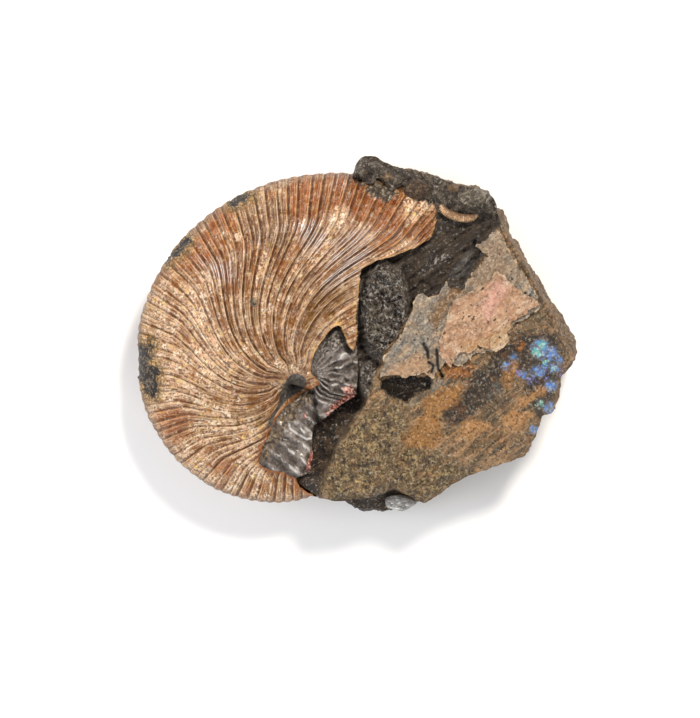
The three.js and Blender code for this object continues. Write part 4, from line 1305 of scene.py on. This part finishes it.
def grey_cast():
    mud = blank("grey_cast")
    mm = in_mm(mud)
    value = {
        name: marked(mud, name)
        for name in ("fold", "turn", "loop")
    }
    zone = ragged_zones(mud, mm, {
        "red": (0.1, 0.6, 1.2),
        "seam": (0.25, 0.8, 0.8),
        "grime": (0.3, 0.9, 1.6),
        "crumbly": (0.6, 1.0, 2.4),
        "edge": (0.2, 0.8, 0.8),
    })
    # Streaks run along the folds: the gleam is painted highlight, the murk painted shade.
    split = add(mud, "ShaderNodeSeparateXYZ", {0: mm}).outputs
    along = product(mud, split[0], 0.4)
    foldwise = add(mud, "ShaderNodeCombineXYZ", {0: value["turn"], 1: along}).outputs[0]
    pattern, mask = noise_masks(mud, {
        "cloud": (mm, 3.5, 5.0, (0.42, 0.58)),
        "streak": (mm, 1.1, 5.0, (0.48, 0.56)),
        "speck": (mm, 0.8, 4.0, (0.5, 0.58)),
        "gleam": (foldwise, 0.8, 4.0, (0.5, 0.58)),
        "murk": (foldwise, 1.0, 4.0, (0.52, 0.62)),
        "fine": (mm, 0.8, 5.0, (0.5, 0.6)),
    })
    light, dark, _ = grains_of(mud, mm, 0.4)
    crest = ramp(mud, value["fold"], -0.2, 0.8)
    dip = ramp(mud, value["fold"], -0.3, -0.9)
    rough = greatest(mud, zone["grime"], zone["crumbly"])
    # Painted highlights on the fold crests and the loop's rim, and painted shade in the fold dips and the
    # murk streaks.
    tone = lay_colours(mud, linear("#574C44"), (
        ("#90857B", 1.0, mask["cloud"]),
        ("#A69C93", 0.5, crest),
        ("#2A2019", 0.65, dip),
        ("#4A3626", 0.7, dip, mask["streak"]),
        ("#2E221A", 0.5, mask["speck"]),
        ("#2A211C", 0.55, mask["murk"]),
        ("#C6BEB6", 0.6, mask["gleam"], crest),
        ("#F6F2ED", 0.9, crest, mask["gleam"]),
        ("#F4F0EA", 0.8, value["loop"], mask["cloud"]),
        ("#5B5048", 0.6, zone["crumbly"]),
        ("#B8AEA2", 0.6, zone["crumbly"], light),
        ("#1A1512", 0.7, rough, dark),
        ("#57452F", 0.85, zone["grime"]),
        ("#9A8463", 0.6, zone["grime"], light),
        ("#1C150F", 0.7, zone["grime"], dark),
        ("#B9614A", 0.85, zone["red"]),
        ("#F2D3C2", 0.75, zone["red"], light),
        ("#4E2A20", 0.7, zone["red"], dark),
        ("#1E1814", 0.9, zone["seam"]),
        ("#3A2C23", 0.5, zone["edge"]),
    ))
    roughness = between(mud, rough, 0.24, 0.55)
    surface_of(mud, tone, roughness, (
        (pattern["fine"], 0.8),
        (pattern["streak"], 0.6),
        (dark, -0.05),
    ), Coat_Weight=0.4, Coat_Roughness=0.14)
    return mud


cast_mesh = make_slab("inner_mould", CAST_EDGE, cast_top, CAST_CELL, 0.12, CAST_WALL, cast_marks)
finish_piece(cast_mesh, grey_cast(), "grey_cast", "inner_cast")

# The pearl sheets. Two torn layers of another shell's mother-of-pearl that split with the
# rock and stayed on its face, the lower one grey and stained, the upper one pink.

PEARL_CELL = 0.2
LOWER_PEARL = [
    (27.7, 21.1), (28.7, 19.3), (30.3, 15.9), (33.5, 11.3), (35.9, 6.9), (36.3, 5.3), (33.7, 3.3),
    (30.9, 1.7), (29.5, -1.1), (26.9, -3.5), (22.9, -3.9), (20.9, -6.3), (17.3, -5.5), (14.9, -8.7),
    (13.3, -7.5), (9.5, -8.7), (6.9, -7.9), (4.5, -8.3), (5.3, -4.7), (7.1, -2.1), (9.3, 0.9),
    (10.7, 4.5), (11.7, 7.5), (12.9, 8.1), (13.9, 7.3), (16.1, 7.7), (16.9, 9.3), (17.7, 10.5),
    (18.5, 9.1), (19.9, 8.7), (21.3, 8.9), (21.9, 10.9), (23.1, 12.5), (24.5, 14.3), (25.9, 15.7),
    (24.5, 16.5), (23.5, 17.5), (24.1, 18.3), (25.7, 18.9), (26.7, 20.3),
]
UPPER_PEARL = [
    (18.9, 6.5), (22.5, 8.5), (24.1, 9.5), (26.5, 10.9), (27.7, 12.5), (30.5, 10.1), (32.5, 8.5),
    (34.9, 7.3), (36.1, 6.1), (33.7, 4.1), (30.9, 2.5), (29.3, -0.7), (27.5, -3.1), (26.1, -3.1),
    (24.1, -2.3), (22.5, -3.5), (20.1, -3.9), (18.5, -6.3), (16.9, -5.1), (16.1, -3.5), (16.5, -0.7),
    (17.7, 3.3),
]
ROUND_FLAKE = [
    (26.3, -1.1), (27.1, -0.1), (28.5, 0.3), (29.7, -0.1), (30.1, -1.3), (29.1, -2.7), (27.5, -3.5),
    (26.3, -3.1),
]
# A patch painted with the pearl's pink sheen.
PINK_SHEEN = [(25.7, 3.3), (24.9, 5.3), (26.1, 8.5), (28.1, 10.5), (29.3, 9.3), (27.7, 6.1)]
BROWN_WASH = [
    (14.1, 3.3), (16.5, 7.3), (19.7, 9.7), (22.5, 10.5), (21.7, 8.5), (18.5, 6.3), (16.9, 2.9),
    (15.7, 0.5),
]
TAN_PATCH = [(5.3, -7.9), (8.1, -5.7), (12.1, -3.5), (14.5, -5.5), (15.3, -8.7), (12.5, -8.3), (9.3, -9.1)]
TAN_TOP = [
    (24.1, 17.7), (28.5, 19.7), (30.9, 14.5), (32.5, 10.9), (28.1, 11.7), (25.3, 9.7), (22.5, 9.3),
    (20.9, 10.9), (22.5, 14.5),
]
OCHRE_RIM = [
    (20.1, -1.9), (24.5, -0.7), (28.5, 0.9), (32.1, 3.7), (30.1, 0.9), (27.7, -2.7), (24.1, -3.1),
    (20.9, -3.9),
]


def pearl_height(lift, tilt):
    def height(x, y, inside):
        buckle = 0.25 * grain(x, y, 0, 4.0, 3, 3.0) + 0.07 * grain(x, y, 0, 1.2, 3, 4.0)
        buckle -= 0.8 * np.exp(-((crack_distance(x, y) / CRACK_WIDTH) ** 2))
        return face_plane(x, y) + lift + buckle + tilt * np.exp(-inside / 1.2)

    return height


def pearl_marks(x, y):
    return {
        "pink": signed_distance(x, y, PINK_SHEEN),
        "brown": signed_distance(x, y, BROWN_WASH),
        "ochre": signed_distance(x, y, OCHRE_RIM),
        "crack": crack_distance(x, y) - 0.28,
        "tan": signed_distance(x, y, TAN_PATCH),
        "top": signed_distance(x, y, TAN_TOP),
    }


# Mother-of-pearl under a thin film of dried mud: satin, brushed with soft clouds that lean
# with the rock's layers, pricked with small pits and pale along every torn edge.

def pale_nacre(name, base, cloud, shade, grimy):
    pearl = blank(name)
    mm = in_mm(pearl)
    zone = ragged_zones(pearl, mm, {
        "pink": (1.4, 1.5, 3.0),
        "brown": (0.8, 1.5, 2.6),
        "ochre": (0.8, 1.2, 2.8),
        "tan": (0.7, 1.3, 2.4),
        "top": (1.2, 1.5, 3.0),
        "edge": (0.12, 0.8, 0.5),
        "crack": (0.12, 0.6, 0.7),
    })
    turned = leaning(pearl, mm, 42, (1.7, 1.0, 1.0))
    pattern, mask = noise_masks(pearl, {
        "cloud": (turned, 2.4, 6.0, (0.42, 0.6)),
        "blotch": (turned, 1.5, 6.0, (0.47, 0.6)),
        "cream": (turned, 2.0, 6.0, (0.53, 0.64)),
        "grime": (turned, 0.8, 6.0, (0.54, 0.62)),
        "speck": (mm, 0.8, 3.0, (0.56, 0.62)),
        "pit": (mm, 0.9, 1.0, (0.68, 0.71)),
        "wave": (turned, 1.7, 8.0, (0.4, 0.6)),
    })
    light, dark, _ = grains_of(pearl, mm, 0.36)
    # Hair cracks lie where a coarse pattern crosses its middle value.
    web = add(
        pearl, "ShaderNodeTexNoise", {"Vector": mm, "Scale": 1 / 5.0, "Detail": 3.0, "Distortion": 0.8}
    ).outputs[0]
    off = off_from(pearl, web, 0.5)
    hair = ramp(pearl, off, 0.008, 0.002)
    tone = lay_colours(pearl, linear(base), (
        (cloud, 1.0, mask["cloud"]),
        (shade, 0.65, mask["blotch"]),
        ("#E2CFB4", 0.55, mask["cream"]),
        ("#B88F68", 0.75, zone["tan"]),
        ("#957A5E", 0.75, zone["top"]),
        ("#7C5830", 0.9, zone["brown"]),
        ("#B08452", 0.6, zone["ochre"]),
        # Painted pink sheen.
        ("#E2A597", 0.75, zone["pink"]),
        ("#5E4E40", grimy, mask["grime"]),
        ("#46392D", 0.5 * grimy, mask["speck"]),
        ("#4A3C30", 0.3 * grimy, dark),
        ("#F0DFC4", 0.22, light),
        ("#2A211A", 0.6, hair, mask["blotch"]),
        ("#DFC4A0", 0.75, zone["edge"]),
        ("#33271F", 0.9, mask["pit"]),
        ("#1E1712", 0.95, zone["crack"]),
    ))
    roughness = between(pearl, mask["grime"], 0.36, 0.6)
    surface_of(pearl, tone, roughness, (
        (pattern["wave"], 1.9),
        (pattern["speck"], 0.25),
    ), Metallic=0.08)
    return pearl


lower_mesh = make_slab(
    "pearl_lower", LOWER_PEARL, pearl_height(0.55, 0.05), PEARL_CELL, 0.45, 0.8, pearl_marks
)
upper_mesh = make_slab(
    "pearl_upper", UPPER_PEARL, pearl_height(1.0, 0.1), PEARL_CELL, 0.4, 0.6, pearl_marks
)
finish_piece(
    lower_mesh, pale_nacre("grey_nacre", "#7C766D", "#A98F70", "#6A6E6E", 0.6), "pale_nacre", "pearl_sheet"
)
finish_piece(upper_mesh, pale_nacre("pink_nacre", "#AE8160", "#C9A07E", "#A0795A", 0.4), "pale_nacre")
flake_mesh = make_slab(
    "pearl_flake", ROUND_FLAKE, pearl_height(1.4, 0.1), PEARL_CELL, 0.15, 0.5, pearl_marks
)
finish_piece(flake_mesh, pale_nacre("spotted_nacre", "#C3A07C", "#D9BD98", "#A98868", 0.5), "pale_nacre")

# The scrap. The ribbed edge of a smaller shell, a cream crescent that lies in a dip below
# the rim, its ribs 0.4 mm apart.

SCRAP_PATH = [
    (16.7, 25.9), (17.3, 24.7), (18.5, 23.9), (20.3, 23.3), (21.9, 23.1), (23.1, 23.5), (23.9, 24.3),
]
SCRAP_HALF_WIDTH = 0.85
SCRAP_RIBS = 24


def make_scrap():
    mesh = grid_mesh("ribbed_fragment", SCRAP_RIBS * 10, 24)
    u, v, _ = (get_points(mesh) + 0.5).T
    knots = np.linspace(0, 1, len(SCRAP_PATH))
    path_x, path_y = np.array(SCRAP_PATH).T
    bow_x, bow_y = np.polyfit(knots, path_x, 4), np.polyfit(knots, path_y, 4)
    x, y = np.polyval(bow_x, u), np.polyval(bow_y, u)
    slope_x, slope_y = np.polyval(np.polyder(bow_x), u), np.polyval(np.polyder(bow_y), u)
    length = np.hypot(slope_x, slope_y)
    around = 2 * math.pi * v
    rib = 0.5 + 0.5 * np.cos(2 * math.pi * SCRAP_RIBS * u)
    radius = SCRAP_HALF_WIDTH * (1 - np.abs(2 * u - 1) ** 3.5) ** 0.5 * (0.95 + 0.05 * rib)
    side = radius * np.cos(around)
    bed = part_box("ribbed_scrap")[0][2] / MM + 0.6
    set_points(
        mesh,
        (x + side * slope_y / length, y - side * slope_x / length, bed + 0.9 * radius * np.sin(around)),
    )
    mark(mesh, "rib", rib)
    mark(mesh, "side", side / SCRAP_HALF_WIDTH)
    tube = bmesh.new()
    tube.from_mesh(mesh)
    bmesh.ops.remove_doubles(tube, verts=tube.verts, dist=0.004 * MM)
    return write_back(tube, mesh)


# Bleached shell: chalky cream on the ribs, brown mud between them, and painted shade on its upper side.

def cream_shell():
    shell = blank("cream_shell")
    mm = in_mm(shell)
    rib = marked(shell, "rib")
    side = marked(shell, "side")
    pattern, mask = noise_masks(shell, {
        "dust": (mm, 0.8, 5.0, (0.46, 0.58)),
        "dirt": (mm, 1.5, 5.0, (0.5, 0.6)),
    })
    light, dark, _ = grains_of(shell, mm, 0.4)
    clean = ramp(shell, rib, 0.2, 0.8)
    upper = ramp(shell, side, 0.2, -0.6)
    tone = lay_colours(shell, linear("#B08A60"), (
        ("#DCBC92", 0.8, clean),
        ("#A5744A", 0.55, mask["dust"]),
        ("#F1DDBC", 0.6, light, clean),
        ("#6A4527", 0.6, dark),
        # Painted shade: the scrap's upper side is darkened brown.
        ("#5B3D25", 0.85, upper),
        ("#4A3220", 0.5, mask["dirt"]),
    ))
    surface_of(shell, tone, 0.5, ((pattern["dust"], 0.5),))
    return shell


finish_piece(make_scrap(), cream_shell(), "cream_shell", "ribbed_scrap")

# The chip. A pale, rounded bit of shell that sticks out at the foot of the lower edge.

CHIP_X, CHIP_Y, CHIP_Z = 8.7, -33.7, 9.3
CHIP_SIZE = (3.1, 1.7, 1.6)


def make_chip():
    mesh = ball_mesh("pale_fragment", 64, 40)
    x, y, z = get_points(mesh).T
    swell = 1 + 0.12 * grain(x, y, z, 0.8, 3, 5.0)
    taper = 1 - 0.45 * smooth(x, 0.0, 1.0)
    x = CHIP_X + CHIP_SIZE[0] * x * swell
    y = CHIP_Y + CHIP_SIZE[1] * y * swell * taper
    z = CHIP_Z + CHIP_SIZE[2] * z * swell * taper
    set_points(mesh, (x, y, z))
    return mesh


# Fresh shell, pale grey and slightly glossy, with darker streaks along it.

def grey_shell():
    shell = blank("grey_shell")
    where = add(shell, "ShaderNodeTexCoord").outputs["Object"]
    drawn = add(shell, "ShaderNodeMapping", {"Vector": where, "Scale": (600.0, 1500.0, 1000.0)}).outputs[0]
    pattern, mask = noise_masks(shell, {
        "streak": (drawn, 1.2, 6.0, (0.4, 0.62)),
        "vein": (drawn, 0.7, 5.0, (0.55, 0.6)),
        "dirt": (drawn, 1.6, 6.0, (0.55, 0.62)),
    })
    tone = lay_colours(shell, linear("#77746F"), (
        ("#BDBAB5", 1.0, mask["streak"]),
        ("#F6F4F0", 0.75, mask["vein"]),
        ("#4A443C", 0.7, mask["dirt"]),
    ))
    surface_of(shell, tone, 0.32, ((pattern["streak"], 0.4),))
    return shell


finish_piece(make_chip(), grey_shell(), "grey_shell", "pale_chip")

# The photograph's stage: a plain pale floor under soft studio light, with the camera
# straight above.

FRAME_WIDTH = 140.0
VIEW_X, VIEW_Y, VIEW_Z = -1.5, -4.9, 14.0
CAMERA_HEIGHT = 1200.0
LIGHTS = {
    "key": {"at": (170, 330, 520), "width": 170, "power": 4.4, "tint": "#FFF6EC"},
    "fill": {"at": (-420, -60, 380), "width": 420, "power": 1.9, "tint": "#F6F8FF"},
    "front": {"at": (120, -420, 360), "width": 360, "power": 1.1, "tint": "#FFFFFF"},
}

floor_mesh = grid_mesh("floor", 1, 1, 3000, 3000)
pale = blank("pale_floor")
floor_look = add(pale, "ShaderNodeBsdfPrincipled", {"Base Color": linear("#F4F4F3"), "Roughness": 0.9})
add(pale, "ShaderNodeOutputMaterial", {"Surface": floor_look.outputs[0]})
floor_mesh.materials.append(pale)
floor = bpy.data.objects.new("floor", floor_mesh)
bpy.context.scene.collection.objects.link(floor)

for name, light in LIGHTS.items():
    lamp = bpy.data.lights.new(name, "AREA")
    lamp.shape = "DISK"
    lamp.size = light["width"] * MM
    lamp.energy = light["power"]
    lamp.color = linear(light["tint"])[:3]
    stand = bpy.data.objects.new(name, lamp)
    stand.location = Vector(light["at"]) * MM
    stand.rotation_euler = (-stand.location).to_track_quat("-Z", "Y").to_euler()
    bpy.context.scene.collection.objects.link(stand)

world = bpy.data.worlds.new("studio")
world.use_nodes = True
world.node_tree.nodes["Background"].inputs["Color"].default_value = linear("#FFFFFF")
world.node_tree.nodes["Background"].inputs["Strength"].default_value = 0.36
bpy.context.scene.world = world
bpy.context.scene.view_settings.view_transform = "Standard"

lens = bpy.data.cameras.new("camera")
lens.sensor_fit = "HORIZONTAL"
lens.sensor_width = 36.0
lens.lens = lens.sensor_width * (CAMERA_HEIGHT - VIEW_Z) / FRAME_WIDTH
lens.clip_end = 10.0
camera = bpy.data.objects.new("camera", lens)
camera.location = Vector((VIEW_X, VIEW_Y, CAMERA_HEIGHT)) * MM
bpy.context.scene.collection.objects.link(camera)
bpy.context.scene.camera = camera
